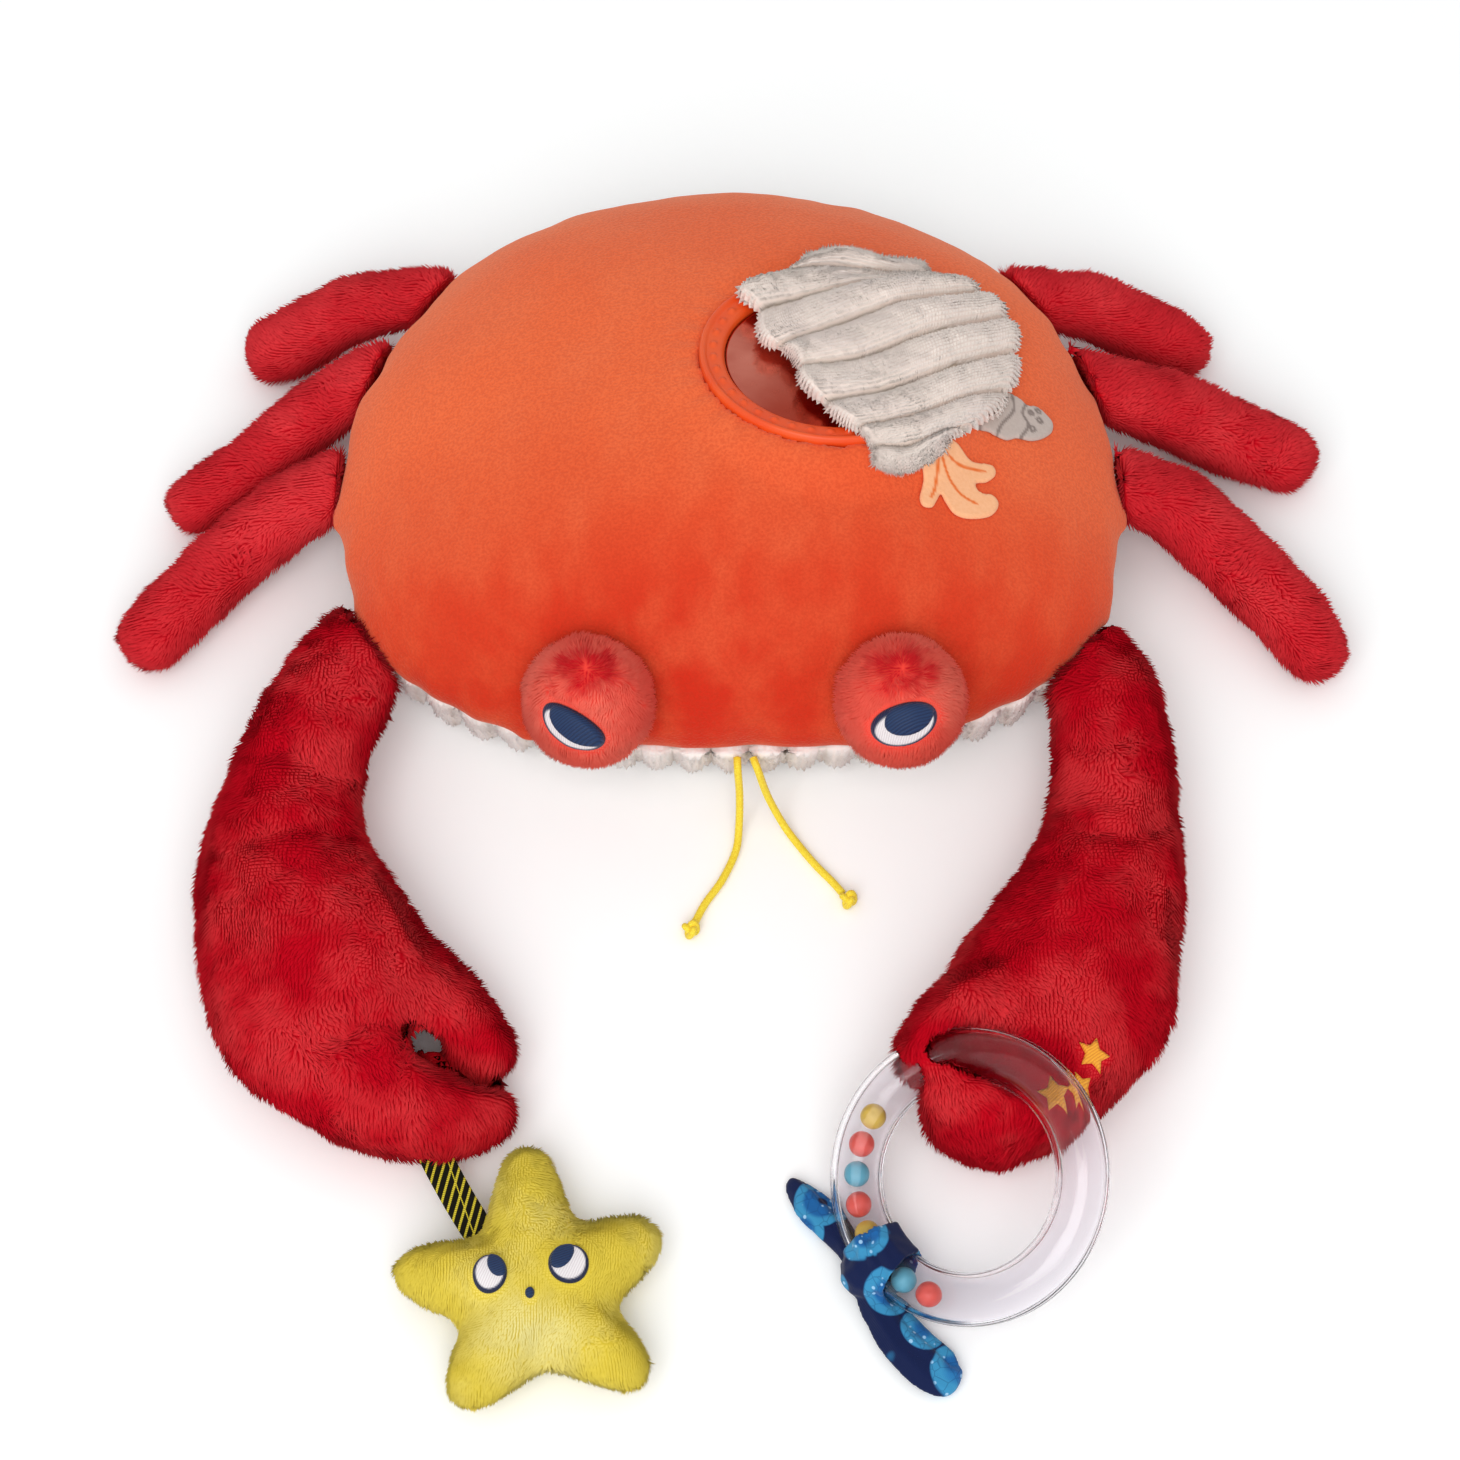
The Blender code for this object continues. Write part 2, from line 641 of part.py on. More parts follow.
def build_felt():
    over = add_object("felt_face", dome_mesh(GAP + FELT_THICKNESS, SEAM_HEIGHT))
    under = add_object("felt_back", dome_mesh(GAP, SEAM_HEIGHT - GAP))
    for name, points, root, slot in (
        ("coral_patch", CORAL_OUTLINE, CORAL_ROOT, "peach_felt"),
        ("shell_patch", SHELL_OUTLINE, SHELL_ROOT, "grey_felt"),
    ):
        place = Matrix.Translation((MIRROR_X + root[0], MIRROR_Y + root[1], 0))
        top = SEAM_HEIGHT + DOME_RISE * FELT_REACH
        patch = add_object(name, prism_mesh(smooth_outline(points, 2), SEAM_HEIGHT, top, place), slot)
        boolean(patch, over, "INTERSECT")
        boolean(patch, under, "DIFFERENCE")


# Stuffed limbs


def limb_mesh(root, stations, grow=0.0, sides=LIMB_SIDES, lifted=True, rings_each=2):
    """A stuffed tube through stations of (x, y, half width, half height), with a round tip."""
    lift = SEAM_HEIGHT - stations[1][3] - FLOOR_GAP if lifted else 0.0
    last = len(stations) - 1
    xs = [root.x + s[0] for s in stations]
    ys = [root.y + s[1] for s in stations]
    lifts = [lift * share for share in LIMB_LIFT] + [0.0] * (len(stations) - len(LIMB_LIFT))
    zs = [FLOOR_GAP + s[3] + up for s, up in zip(stations, lifts)]
    tip = last - 1 + TIP_SHARE
    places = [i / rings_each for i in range(rings_each * (last - 1) + 1)]
    places += [(last - 1 + tip) / 2, tip]
    places += [tip + (1 - TIP_SHARE) * k for k in TIP_RINGS]
    bm = bmesh.new()
    rings = []
    for place in places:
        point = Vector([catmull(v, place) for v in (xs, ys, zs)])
        ahead = Vector([catmull(v, min(place + 0.05, last)) for v in (xs, ys, zs)])
        behind = Vector([catmull(v, max(place - 0.05, 0.0)) for v in (xs, ys, zs)])
        heading = (ahead - behind).normalized()
        side = heading.cross(Vector((0, 0, 1))).normalized()
        up = side.cross(heading)
        into_tip = max(0.0, (place - tip) / (1 - TIP_SHARE))
        rounding = math.sqrt(1 - into_tip**2)
        wide = (catmull([s[2] for s in stations], place) + grow) * rounding
        tall = (catmull([s[3] for s in stations], place) + grow) * rounding
        rings.append([
            bm.verts.new(point + side * wide * math.cos(a) + up * tall * math.sin(a))
            for a in (2 * math.pi * k / sides for k in range(sides))
        ])
    for first, second in zip(rings, rings[1:]):
        for k in range(sides):
            n = (k + 1) % sides
            bm.faces.new((first[k], first[n], second[n], second[k]))
    bm.faces.new(rings[0])
    end = bm.verts.new(Vector((xs[-1], ys[-1], zs[-1])) + heading * grow)
    for k in range(sides):
        bm.faces.new((rings[-1][k], rings[-1][(k + 1) % sides], end))
    return bm


def build_claw(side, angle, stations, pincer):
    """Arm, palm and lower pincer in one tube, with the upper pincer joined to the palm."""
    root = seam_point(angle)
    claw = add_object(f"{side}_claw", limb_mesh(root, stations), "red_plush")
    upper = add_object(f"{side}_upper_pincer", limb_mesh(root, pincer, lifted=False))
    boolean(claw, upper, "UNION")
    trim_to_body(claw)
    return claw


def build_legs():
    """Each leg is pressed flat against the leg in front of it, where the two meet."""
    by_side = {}
    for name, angle, stations in reversed(LEGS):
        root = seam_point(angle)
        leg = add_object(name, limb_mesh(root, stations, rings_each=1), "red_plush")
        side = name.split("_")[0]
        if side in by_side:
            boolean(leg, by_side[side], "DIFFERENCE")
        by_side[side] = add_object(f"{name}_trim", limb_mesh(root, stations, TRIM_GAP, rings_each=1))
        trim_to_body(leg)


# Eye stalks


def ball_mesh(radius, centre, sides, rows, matrix=Matrix()):
    bm = bmesh.new()
    bmesh.ops.create_uvsphere(bm, u_segments=sides, v_segments=rows, radius=radius, matrix=matrix)
    bmesh.ops.translate(bm, vec=centre, verts=bm.verts)
    return bm


def stalk_centre(side):
    front = BODY_MIDDLE_Y - BODY_FRONT
    return Vector((STALK_CENTRE_X + side * STALK_SPACING / 2, front + STALK_AHEAD, STALK_HEIGHT))


def eye_axes(gaze):
    """Matrix whose Z leaves the ball in the direction of the eye, with Y as near upright as can be."""
    z = Vector(gaze).normalized()
    x = Vector((0, 0, 1)).cross(z).normalized()
    turn = Matrix((x, z.cross(x), z)).transposed()
    return turn.to_4x4()


def patch_on_ball(name, slot, outline, centre, axes, low, high):
    place = Matrix.Translation(centre) @ axes
    patch = add_object(name, prism_mesh(outline, STALK_RADIUS / 2, STALK_RADIUS * 3 / 2, place), slot)
    over = add_object(f"{name}_face", ball_mesh(STALK_RADIUS + high, centre, STALK_SIDES, STALK_ROWS))
    under = add_object(f"{name}_back", ball_mesh(STALK_RADIUS + low, centre, STALK_SIDES, STALK_ROWS))
    boolean(patch, over, "INTERSECT")
    boolean(patch, under, "DIFFERENCE")


def build_eye(name, side, gaze, turn, iris_shift):
    centre = stalk_centre(side)
    ball = ball_mesh(STALK_RADIUS, centre, STALK_SIDES, STALK_ROWS)
    trim_to_body(add_object(f"{name}_eye_stalk", ball, "coral_plush"))
    axes = eye_axes(gaze)
    white = ellipse(EYE_WIDTH, EYE_HEIGHT, (0, 0), turn, EYE_SIDES)
    patch_on_ball(f"{name}_eye_white", "white_thread", white, centre, axes, GAP, GAP + STITCH_HEIGHT)
    iris = ellipse(EYE_WIDTH * IRIS_SHARE, EYE_HEIGHT * IRIS_SHARE, iris_shift, turn, EYE_SIDES)
    low = 2 * GAP + STITCH_HEIGHT
    patch_on_ball(f"{name}_iris", "navy_thread", iris, centre, axes, low, low + STITCH_HEIGHT)


# Mouth cords


def build_cord(name, route):
    """A round cord on a smooth curve through its route, laid down to the floor and knotted."""
    points = [Vector(p) for p in route]
    length = sum((b - a).length for a, b in zip(points, points[1:]))
    count = round(length / CORD_SPACING)
    curve = bpy.data.curves.new(name, "CURVE")
    curve.dimensions = "3D"
    curve.bevel_depth = CORD_DIAMETER / 2
    curve.bevel_resolution = 2
    curve.use_fill_caps = True
    curve.materials.append(material("yellow_cord"))
    spline = curve.splines.new("POLY")
    spline.points.add(count)
    for i, point in enumerate(spline.points):
        place = i / count * (len(points) - 1)
        point.co = (*[catmull([p[axis] for p in points], place) for axis in range(3)], 1.0)
    CRAB.objects.link(bpy.data.objects.new(f"{name}_cord", curve))
    heading = (points[-1] - points[-2]).normalized()
    centre = points[-1] + heading * (KNOT_RADIUS + GAP)
    centre.z = max(centre.z, KNOT_RADIUS)
    add_object(f"{name}_cord_knot", ball_mesh(KNOT_RADIUS, centre, KNOT_SIDES, KNOT_ROWS), "yellow_cord")


# Starfish


def star_radius(angle, grow=0.0):
    arm = 2 * math.pi / STAR_ARMS
    off = abs((angle - STAR_TURN + arm / 2) % arm - arm / 2) / (arm / 2)
    blend = 0.5 + 0.5 * math.cos(math.pi * off)
    pointed = blend**STAR_POINTEDNESS
    return STAR_VALLEY_RADIUS + (STAR_TIP_RADIUS - STAR_VALLEY_RADIUS) * pointed + grow


def star_mesh(centre, grow=0.0):
    bm = bmesh.new()
    bmesh.ops.create_uvsphere(bm, u_segments=8 * STAR_ARMS, v_segments=STAR_ROWS, radius=1.0)
    for vert in bm.verts:
        share = min(math.hypot(vert.co.x, vert.co.y), 1.0)
        angle = math.atan2(vert.co.y, vert.co.x) + STAR_TURN
        radius = share * star_radius(angle, grow)
        rise = (STAR_HALF_HEIGHT + grow) * vert.co.z
        vert.co = centre + Vector((radius * math.cos(angle), radius * math.sin(angle), rise))
    return bm


def build_star(root):
    centre = Vector((root.x + STAR_FROM_CLAW[0], root.y + STAR_FROM_CLAW[1], STAR_HALF_HEIGHT + FLOOR_GAP))
    add_object("starfish", star_mesh(centre), "yellow_plush")
    lift = STAR_HALF_HEIGHT * 2
    low = (GAP, GAP + STITCH_HEIGHT)
    high = (2 * GAP + STITCH_HEIGHT, 2 * GAP + 2 * STITCH_HEIGHT)
    half = STAR_EYE_SPACING / 2
    shift = STAR_PUPIL_SHIFT
    ahead = STAR_EYE_AHEAD
    turn = STAR_TURN - math.radians(90)
    place = Matrix.Translation(centre) @ Matrix.Rotation(turn, 4, "Z")
    features = (
        ("starfish_left_eye_white", "white_thread", (-half, ahead), STAR_EYE_RADIUS, low),
        ("starfish_right_eye_white", "white_thread", (half, ahead), STAR_EYE_RADIUS, low),
        ("starfish_left_pupil", "navy_thread", (shift - half, ahead + shift), STAR_PUPIL_RADIUS, high),
        ("starfish_right_pupil", "navy_thread", (half - shift, ahead + shift), STAR_PUPIL_RADIUS, high),
        ("starfish_mouth", "navy_thread", (0.0, ahead - STAR_MOUTH_BELOW), STAR_MOUTH_RADIUS, low),
    )
    for name, slot, middle, radius, (under, over) in features:
        outline = ellipse(2 * radius, 2 * radius, middle, 0.0, EYE_SIDES)
        patch = add_object(name, prism_mesh(outline, 0.0, lift, place), slot)
        boolean(patch, add_object(f"{name}_face", star_mesh(centre, over)), "INTERSECT")
        boolean(patch, add_object(f"{name}_back", star_mesh(centre, under)), "DIFFERENCE")
    return centre


def build_strap(root, stations, star_centre):
    """A woven strap from under the left claw's lower pincer to the starfish."""
    start = Vector((root.x + STRAP_START[0], root.y + STRAP_START[1], SEAM_HEIGHT / 2))
    end = Vector((root.x + STRAP_END[0], root.y + STRAP_END[1], STAR_HALF_HEIGHT))
    heading = (end - start).normalized()
    side = heading.cross(Vector((0, 0, 1))).normalized()
    turn = Matrix((side, heading, side.cross(heading))).transposed().to_4x4()
    size = Matrix.Diagonal((STRAP_WIDTH, (end - start).length, STRAP_THICKNESS, 1.0))
    bm = bmesh.new()
    bmesh.ops.create_cube(bm, size=1.0, matrix=Matrix.Translation((start + end) / 2) @ turn @ size)
    strap = add_object("star_strap", bm, "woven_strap")
    claw_trim = add_object("strap_claw_trim", limb_mesh(root, stations, TRIM_GAP))
    star_trim = add_object("strap_star_trim", star_mesh(star_centre, TRIM_GAP))
    boolean(strap, claw_trim, "DIFFERENCE")
    boolean(strap, star_trim, "DIFFERENCE")


# Rattle ring


def ring_frame(root):
    """Matrix with the ring's axis as Z and its lowest point on +X."""
    bottom = FLOOR_GAP + TIE_CLOTH + GAP + TUBE_RADIUS
    height = bottom + RING_RADIUS * math.sin(RING_TILT)
    centre = Vector((root.x + RING_FROM_CLAW[0], root.y + RING_FROM_CLAW[1], height))
    tip_down = Matrix.Rotation(RING_TILT, 4, "Y")
    return Matrix.Translation(centre) @ Matrix.Rotation(RING_DOWNHILL, 4, "Z") @ tip_down


def arc(radius, start, end, sides):
    return [
        (RING_RADIUS + radius * math.cos(a), radius * math.sin(a))
        for a in (start + (end - start) * k / sides for k in range(sides + 1))
    ]


def half_shell_mesh(upper):
    """One half of the hollow tube, open along the ring's middle plane."""
    sign = 1 if upper else -1
    outer = arc(TUBE_RADIUS, 0, math.pi, TUBE_SIDES // 2)
    inner = arc(TUBE_RADIUS - TUBE_WALL, math.pi, 0, TUBE_SIDES // 2)
    profile = [(r, sign * max(z, GAP / 2)) for r, z in outer + inner]
    return spin(profile, RING_STEPS)


def solid_ring_mesh(radius, frame):
    full = arc(radius, 0, 2 * math.pi, TUBE_SIDES)[:-1]
    bm = spin(full, RING_STEPS)
    bmesh.ops.transform(bm, matrix=frame, verts=bm.verts)
    return bm


def build_ring(frame):
    for name, upper in (("rattle_ring_upper_half", True), ("rattle_ring_lower_half", False)):
        bm = half_shell_mesh(upper)
        bmesh.ops.transform(bm, matrix=frame, verts=bm.verts)
        add_object(name, bm, "clear_plastic")
    down = frame.to_3x3().inverted() @ Vector((0, 0, -1))
    roll = TUBE_RADIUS - TUBE_WALL - BEAD_RADIUS - 2 * GAP
    for i in range(BEAD_COUNT):
        angle = BEAD_FIRST + BEAD_STEP * i
        outward = Vector((math.cos(angle), math.sin(angle), 0))
        sag = outward * down.dot(outward) + Vector((0, 0, down.z))
        place = frame @ (outward * RING_RADIUS + sag.normalized() * roll)
        add_object(f"bead_{i + 1}", ball_mesh(BEAD_RADIUS, place, BEAD_SIDES, BEAD_ROWS), BEAD_MATERIALS[i])


def build_tie(frame):
    """The wrap round the tube, the knot beside it and the two tails on the floor."""
    wrap_radius = TUBE_RADIUS + GAP + TIE_CLOTH
    bm = bmesh.new()
    rings = []
    for step in range(TIE_WRAP_STEPS + 1):
        angle = TIE_WRAP_SWEEP * (step / TIE_WRAP_STEPS - 0.5)
        across = Vector((math.cos(angle), math.sin(angle), 0))
        ring = []
        for k in range(TUBE_SIDES):
            turn = 2 * math.pi * k / TUBE_SIDES
            reach = RING_RADIUS + wrap_radius * math.cos(turn)
            ring.append(bm.verts.new(frame @ (across * reach + Vector((0, 0, wrap_radius * math.sin(turn))))))
        rings.append(ring)
    for first, second in zip(rings, rings[1:]):
        for k in range(TUBE_SIDES):
            n = (k + 1) % TUBE_SIDES
            bm.faces.new((first[k], first[n], second[n], second[k]))
    bm.faces.new(rings[0])
    bm.faces.new(rings[-1])
    tie = add_object("ring_tie", bm, "printed_cloth")
    knot = frame @ Vector((RING_RADIUS + TIE_KNOT_OUT, 0, 0))
    knot.z = TIE_KNOT_RADIUS * TIE_KNOT_FLATNESS + FLOOR_GAP
    flatten = Matrix.Diagonal((1.0, 1.0, TIE_KNOT_FLATNESS, 1.0))
    lump = ball_mesh(TIE_KNOT_RADIUS, knot, TIE_KNOT_SIDES, TIE_KNOT_ROWS, flatten)
    ball = add_object("tie_knot", lump)
    boolean(tie, ball, "UNION")
    for name, tail in (("tie_short_tail", TIE_SHORT_TAIL), ("tie_long_tail", TIE_LONG_TAIL)):
        cloth = add_object(name, limb_mesh(knot, tail, sides=TIE_TAIL_SIDES, lifted=False))
        boolean(tie, cloth, "UNION")
    boolean(tie, add_object("tie_ring_trim", solid_ring_mesh(TUBE_RADIUS + GAP, frame)), "DIFFERENCE")


def build_claw_stars(root, stations, ring_trim):
    middle = max(s[3] for s in stations)
    over = add_object("claw_star_face", limb_mesh(root, stations, TRIM_GAP + STITCH_HEIGHT))
    under = add_object("claw_star_back", limb_mesh(root, stations, TRIM_GAP))
    for i, (x, y, radius) in enumerate(CLAW_STARS):
        outline = []
        for k in range(2 * STAR_ARMS):
            angle = math.pi * k / STAR_ARMS + i
            reach = radius if k % 2 == 0 else radius * CLAW_STAR_WAIST
            outline.append((root.x + x + reach * math.cos(angle), root.y + y + reach * math.sin(angle)))
        block = prism_mesh(outline, middle, 3 * middle, Matrix())
        star = add_object(f"claw_star_{i + 1}", block, "yellow_thread")
        boolean(star, over, "INTERSECT")
        boolean(star, under, "DIFFERENCE")
        boolean(star, ring_trim, "DIFFERENCE")


def build_crab():
    build_body()
    build_mirror()
    build_flap()
    build_felt()
    build_legs()
    left_root = seam_point(LEFT_CLAW_ANGLE)
    right_root = seam_point(RIGHT_CLAW_ANGLE)
    build_claw("left", LEFT_CLAW_ANGLE, LEFT_CLAW, LEFT_PINCER)
    right_claw = build_claw("right", RIGHT_CLAW_ANGLE, RIGHT_CLAW, RIGHT_PINCER)
    ring = ring_frame(right_root)
    ring_trim = add_object("claw_ring_trim", solid_ring_mesh(TUBE_RADIUS + GAP, ring))
    boolean(right_claw, ring_trim, "DIFFERENCE", "MANIFOLD")
    build_ring(ring)
    build_tie(ring)
    build_claw_stars(right_root, RIGHT_CLAW, ring_trim)
    build_eye("left", -1, LEFT_GAZE, LEFT_EYE_TURN, LEFT_IRIS_SHIFT)
    build_eye("right", 1, RIGHT_GAZE, RIGHT_EYE_TURN, RIGHT_IRIS_SHIFT)
    build_cord("left", LEFT_CORD_ROUTE)
    build_cord("right", RIGHT_CORD_ROUTE)
    star_centre = build_star(left_root)
    build_strap(left_root, LEFT_CLAW, star_centre)


build_crab()
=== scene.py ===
"""Looks of the plush crab activity toy: plush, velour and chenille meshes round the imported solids.

Each soft solid of the frame gets a smooth skin of quads, and the plush ones get a pile on it: every quad
is drawn out into a leaning tuft. The eyes, stars and felt shapes are draped on those skins. Units are
metres, in the frame's own axes.
"""

import math

import bmesh
import bpy
import numpy as np
from mathutils import Matrix, Vector, geometry, noise
from mathutils.bvhtree import BVHTree


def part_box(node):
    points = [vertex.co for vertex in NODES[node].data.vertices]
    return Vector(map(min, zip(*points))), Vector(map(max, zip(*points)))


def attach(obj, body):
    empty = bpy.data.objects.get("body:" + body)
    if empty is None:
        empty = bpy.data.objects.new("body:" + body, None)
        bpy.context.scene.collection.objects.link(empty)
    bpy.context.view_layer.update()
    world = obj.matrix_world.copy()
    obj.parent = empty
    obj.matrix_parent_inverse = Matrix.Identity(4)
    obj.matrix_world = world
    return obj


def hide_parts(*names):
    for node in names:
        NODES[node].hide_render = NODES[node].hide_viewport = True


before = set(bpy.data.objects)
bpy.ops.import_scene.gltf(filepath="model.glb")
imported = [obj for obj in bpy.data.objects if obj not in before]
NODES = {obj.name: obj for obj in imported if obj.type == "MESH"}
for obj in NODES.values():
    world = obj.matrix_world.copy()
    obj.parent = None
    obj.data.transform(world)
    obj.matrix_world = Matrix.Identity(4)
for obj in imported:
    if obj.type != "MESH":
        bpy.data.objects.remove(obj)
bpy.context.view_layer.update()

# Seeds of the noise, which would otherwise start from the time of day, and of each piece's tufts
NOISE_SEED = 5
BELLY_SEED = 5
CLAW_SEED = 11
LEG_SEED = 17
STALK_SEED = 23
STAR_SEED = 29
FLAP_SEED = 31

# Skins: voxel size of the mesh round each stuffed piece, and its smoothing passes
BODY_VOXEL = 0.0072
BELLY_VOXEL = 0.0025
CLAW_VOXEL = 0.0025
CLAW_PASSES = 7
LEG_VOXEL = 0.0026
LEG_PASSES = 5
STALK_VOXEL = 0.0036
STAR_VOXEL = 0.0017
STAR_PASSES = 6
TIE_VOXEL = 0.00062
TIE_PASSES = 5

# Pile: length on each piece, how far it leans, and how much each tuft strays
CLAW_PILE = 0.0044
LEG_PILE = 0.0038
STALK_PILE = 0.0033
STAR_PILE = 0.0026
BELLY_PILE = 0.0016
FLAP_PILE = 0.0011
PLUSH_LEAN = 0.82
STALK_LEAN = 0.78
TUFT_STRAY = 0.13
ABOVE_FLOOR = 0.0002

STRAY_NEAR = 0.9
STRAY_WIDE = 1.1
TUFT_LENGTHS = (0.65, 0.6)
TUFT_WAVES = 0.35
SHORTEST_TUFT = 0.08
TUFT_SHADING = 0.45

# Points on drawn outlines and lines
OVAL_SIDES = 56
STAR_WAIST = 0.52
POINTS_PER_EDGE = 5
POINTS_PER_SPAN = 40

# Camera: looks down at the toy from the front
CAMERA_TARGET = (0.0, -0.075, 0.0)
CAMERA_ELEVATION = math.radians(60.0)
CAMERA_DISTANCE = 1.34
CAMERA_LENS = 100.0
CAMERA_SENSOR = 36.0

# Stage and light
FLOOR_SIZE = 6.0
FLOOR_SHADE = 0.86
FLOOR_TINT = (1.24, 1.26, 1.26)
SKY_STRENGTH = 0.68
LAMP_SIZE = 1.6
LAMP_PLACE = (-0.25, -1.30, 1.45)
LAMP_POWER = 21.0

# Body: the seam outline of the solids, and how the cloth bulges over it
BODY_WIDTH = 0.260
BODY_FRONT = 0.0905
BODY_BACK = 0.1315
BODY_MIDDLE_Y = -0.010
FRONT_SQUARENESS = 2.6
BACK_SQUARENESS = 2.2
SEAM_HEIGHT = 0.028
RIM_BULGE = 0.0022
RIM_DROOP = 0.0016
RIM_FADE = (0.006, 0.028)
RIM_SHARE = (0.80, 0.98)
SEAT_EDGE = 0.0008
GATHER_START = 0.0006
GATHER_END = 0.015
GATHER_HEIGHT = 0.0024
GATHER_FOLDS = 31
GATHER_FOLD_DEPTH = 0.0003
GATHER_FLOOR = -0.012
RIB_PITCH = 0.012
BELLY_GROOVE = 0.0026
BELLY_TUCK = 0.0035
BELLY_SIDE_TUCK = 0.0030

# Mirror: its seat, and the outline of the frame from its outer foot to its inner foot
GAP = 0.0003
MIRROR_TILT = math.radians(15.0)
MIRROR_LEAN = math.radians(4.0)
DISC_RADIUS = 0.0332
DISC_HEIGHT = 0.0020
FRAME_RADIUS = 0.042
FRAME_PROFILE = (
    (0.0420, 0.0003), (0.0420, 0.0036), (0.0417, 0.0046), (0.0411, 0.0051), (0.0404, 0.0050),
    (0.0398, 0.0045), (0.0392, 0.0041), (0.0375, 0.0041), (0.0356, 0.0040), (0.0347, 0.0037),
    (0.0340, 0.0031), (0.0336, 0.0023), (0.0335, 0.0003),
)
FRAME_TOP = 0.0051
FRAME_DOTS = 38
DOT_RING = 0.0374
DOT_RADIUS = 0.00125
DOT_HEIGHT = 0.0009

# Flap: crest line of each rib from left to right, in plan
FLAP_CRESTS = (
    ((0.0243, 0.0618), (0.0377, 0.0669), (0.0518, 0.0642), (0.0658, 0.0665)),
    ((0.0124, 0.0478), (0.0241, 0.0510), (0.0413, 0.0557), (0.0708, 0.0634)),
    ((0.0100, 0.0236), (0.0301, 0.0366), (0.0528, 0.0493), (0.0801, 0.0633)),
    ((0.0206, 0.0151), (0.0390, 0.0220), (0.0586, 0.0349), (0.0900, 0.0565)),
    ((0.0234, 0.0016), (0.0432, 0.0051), (0.0618, 0.0165), (0.0952, 0.0446)),
    ((0.0359, -0.0150), (0.0519, -0.0084), (0.0642, -0.0010), (0.0947, 0.0259)),
    ((0.0433, -0.0207), (0.0550, -0.0172), (0.0659, -0.0114), (0.0866, 0.0044)),
    ((0.0462, -0.0262), (0.0530, -0.0266), (0.0603, -0.0234), (0.0690, -0.0150)),
)
FLAP_BACK_EDGE = (-0.0005, 0.0048)
FLAP_FRONT_EDGE = (-0.0002, -0.0024)
FLAP_GROOVE = 0.0020
FLAP_CREST = 0.0066
FLAP_FULL_PITCH = 0.0120
FLAP_TUCK = 0.060
FLAP_REST = 0.016
FLAP_ROUNDING = 0.0035
FLAP_CLOSE_PASSES = 14
FLAP_WIDE_PASSES = 90
ROLL_SQUARENESS = 2.3
ROLL_STEEPNESS = 0.6
FLAP_COLUMNS = 96
FLAP_ROWS_PER_RIB = 12
HORN_RIB = 1.0
HORN_REACH = (-0.0088, -0.0020)

# Felt shapes: outlines and printed lines from each shape's root
CORAL_ROOT = (0.0648, -0.0188)
CORAL_OUTLINE = (
    (-0.0030, 0.0050), (0.0047, 0.0056), (0.0085, 0.0056), (0.0133, 0.0028), (0.0198, 0.0032),
    (0.0209, 0.0000), (0.0179, -0.0037), (0.0143, -0.0054), (0.0155, -0.0083), (0.0202, -0.0086),
    (0.0215, -0.0118),
    (0.0185, -0.0164), (0.0117, -0.0191), (0.0069, -0.0186), (0.0041, -0.0150), (0.0026, -0.0124),
    (0.0012, -0.0150), (-0.0004, -0.0178), (-0.0033, -0.0180), (-0.0043, -0.0150), (-0.0030, -0.0088),
    (-0.0042, -0.0020),
)
CORAL_LINES = (
    ((0.0021, 0.0040), (0.0021, 0.0005), (0.0017, -0.0047), (0.0006, -0.0116), (-0.0006, -0.0146)),
    ((0.0023, 0.0040), (0.0026, 0.0007), (0.0058, -0.0069), (0.0095, -0.0116), (0.0142, -0.0136)),
    ((0.0023, 0.0040), (0.0031, 0.0016), (0.0074, -0.0004), (0.0120, -0.0008), (0.0175, -0.0004)),
)
SHELL_ROOT = (0.0818, 0.0062)
SHELL_OUTLINE = (
    (-0.0100, -0.0040), (-0.0062, -0.0098), (-0.0020, -0.0104), (0.0020, -0.0088), (0.0044, -0.0094),
    (0.0080, -0.0100), (0.0112, -0.0082), (0.0130, -0.0078), (0.0165, -0.0073), (0.0204, -0.0049),
    (0.0237, -0.0009), (0.0244, 0.0031), (0.0225, 0.0058), (0.0191, 0.0078), (0.0158, 0.0072),
    (0.0136, 0.0090), (0.0092, 0.0102), (0.0050, 0.0090), (-0.0010, 0.0060),
)
SHELL_LINES = (
    ((0.0040, 0.0090), (0.0052, 0.0030), (0.0010, -0.0040), (-0.0010, -0.0100)),
    ((0.0106, 0.0093), (0.0110, 0.0026), (0.0066, -0.0050), (0.0050, -0.0094)),
    ((0.0155, 0.0072), (0.0140, 0.0024), (0.0158, -0.0020), (0.0130, -0.0078)),
    ((0.0166, 0.0028), (0.0160, 0.0040), (0.0170, 0.0046), (0.0176, 0.0034), (0.0166, 0.0028)),
    ((0.0192, 0.0046), (0.0186, 0.0058), (0.0196, 0.0062), (0.0202, 0.0050), (0.0192, 0.0046)),
    ((0.0196, 0.0006), (0.0188, 0.0018), (0.0198, 0.0026), (0.0206, 0.0014), (0.0196, 0.0006)),
    ((0.0168, -0.0040), (0.0162, -0.0026), (0.0172, -0.0018), (0.0180, -0.0030), (0.0168, -0.0040)),
)

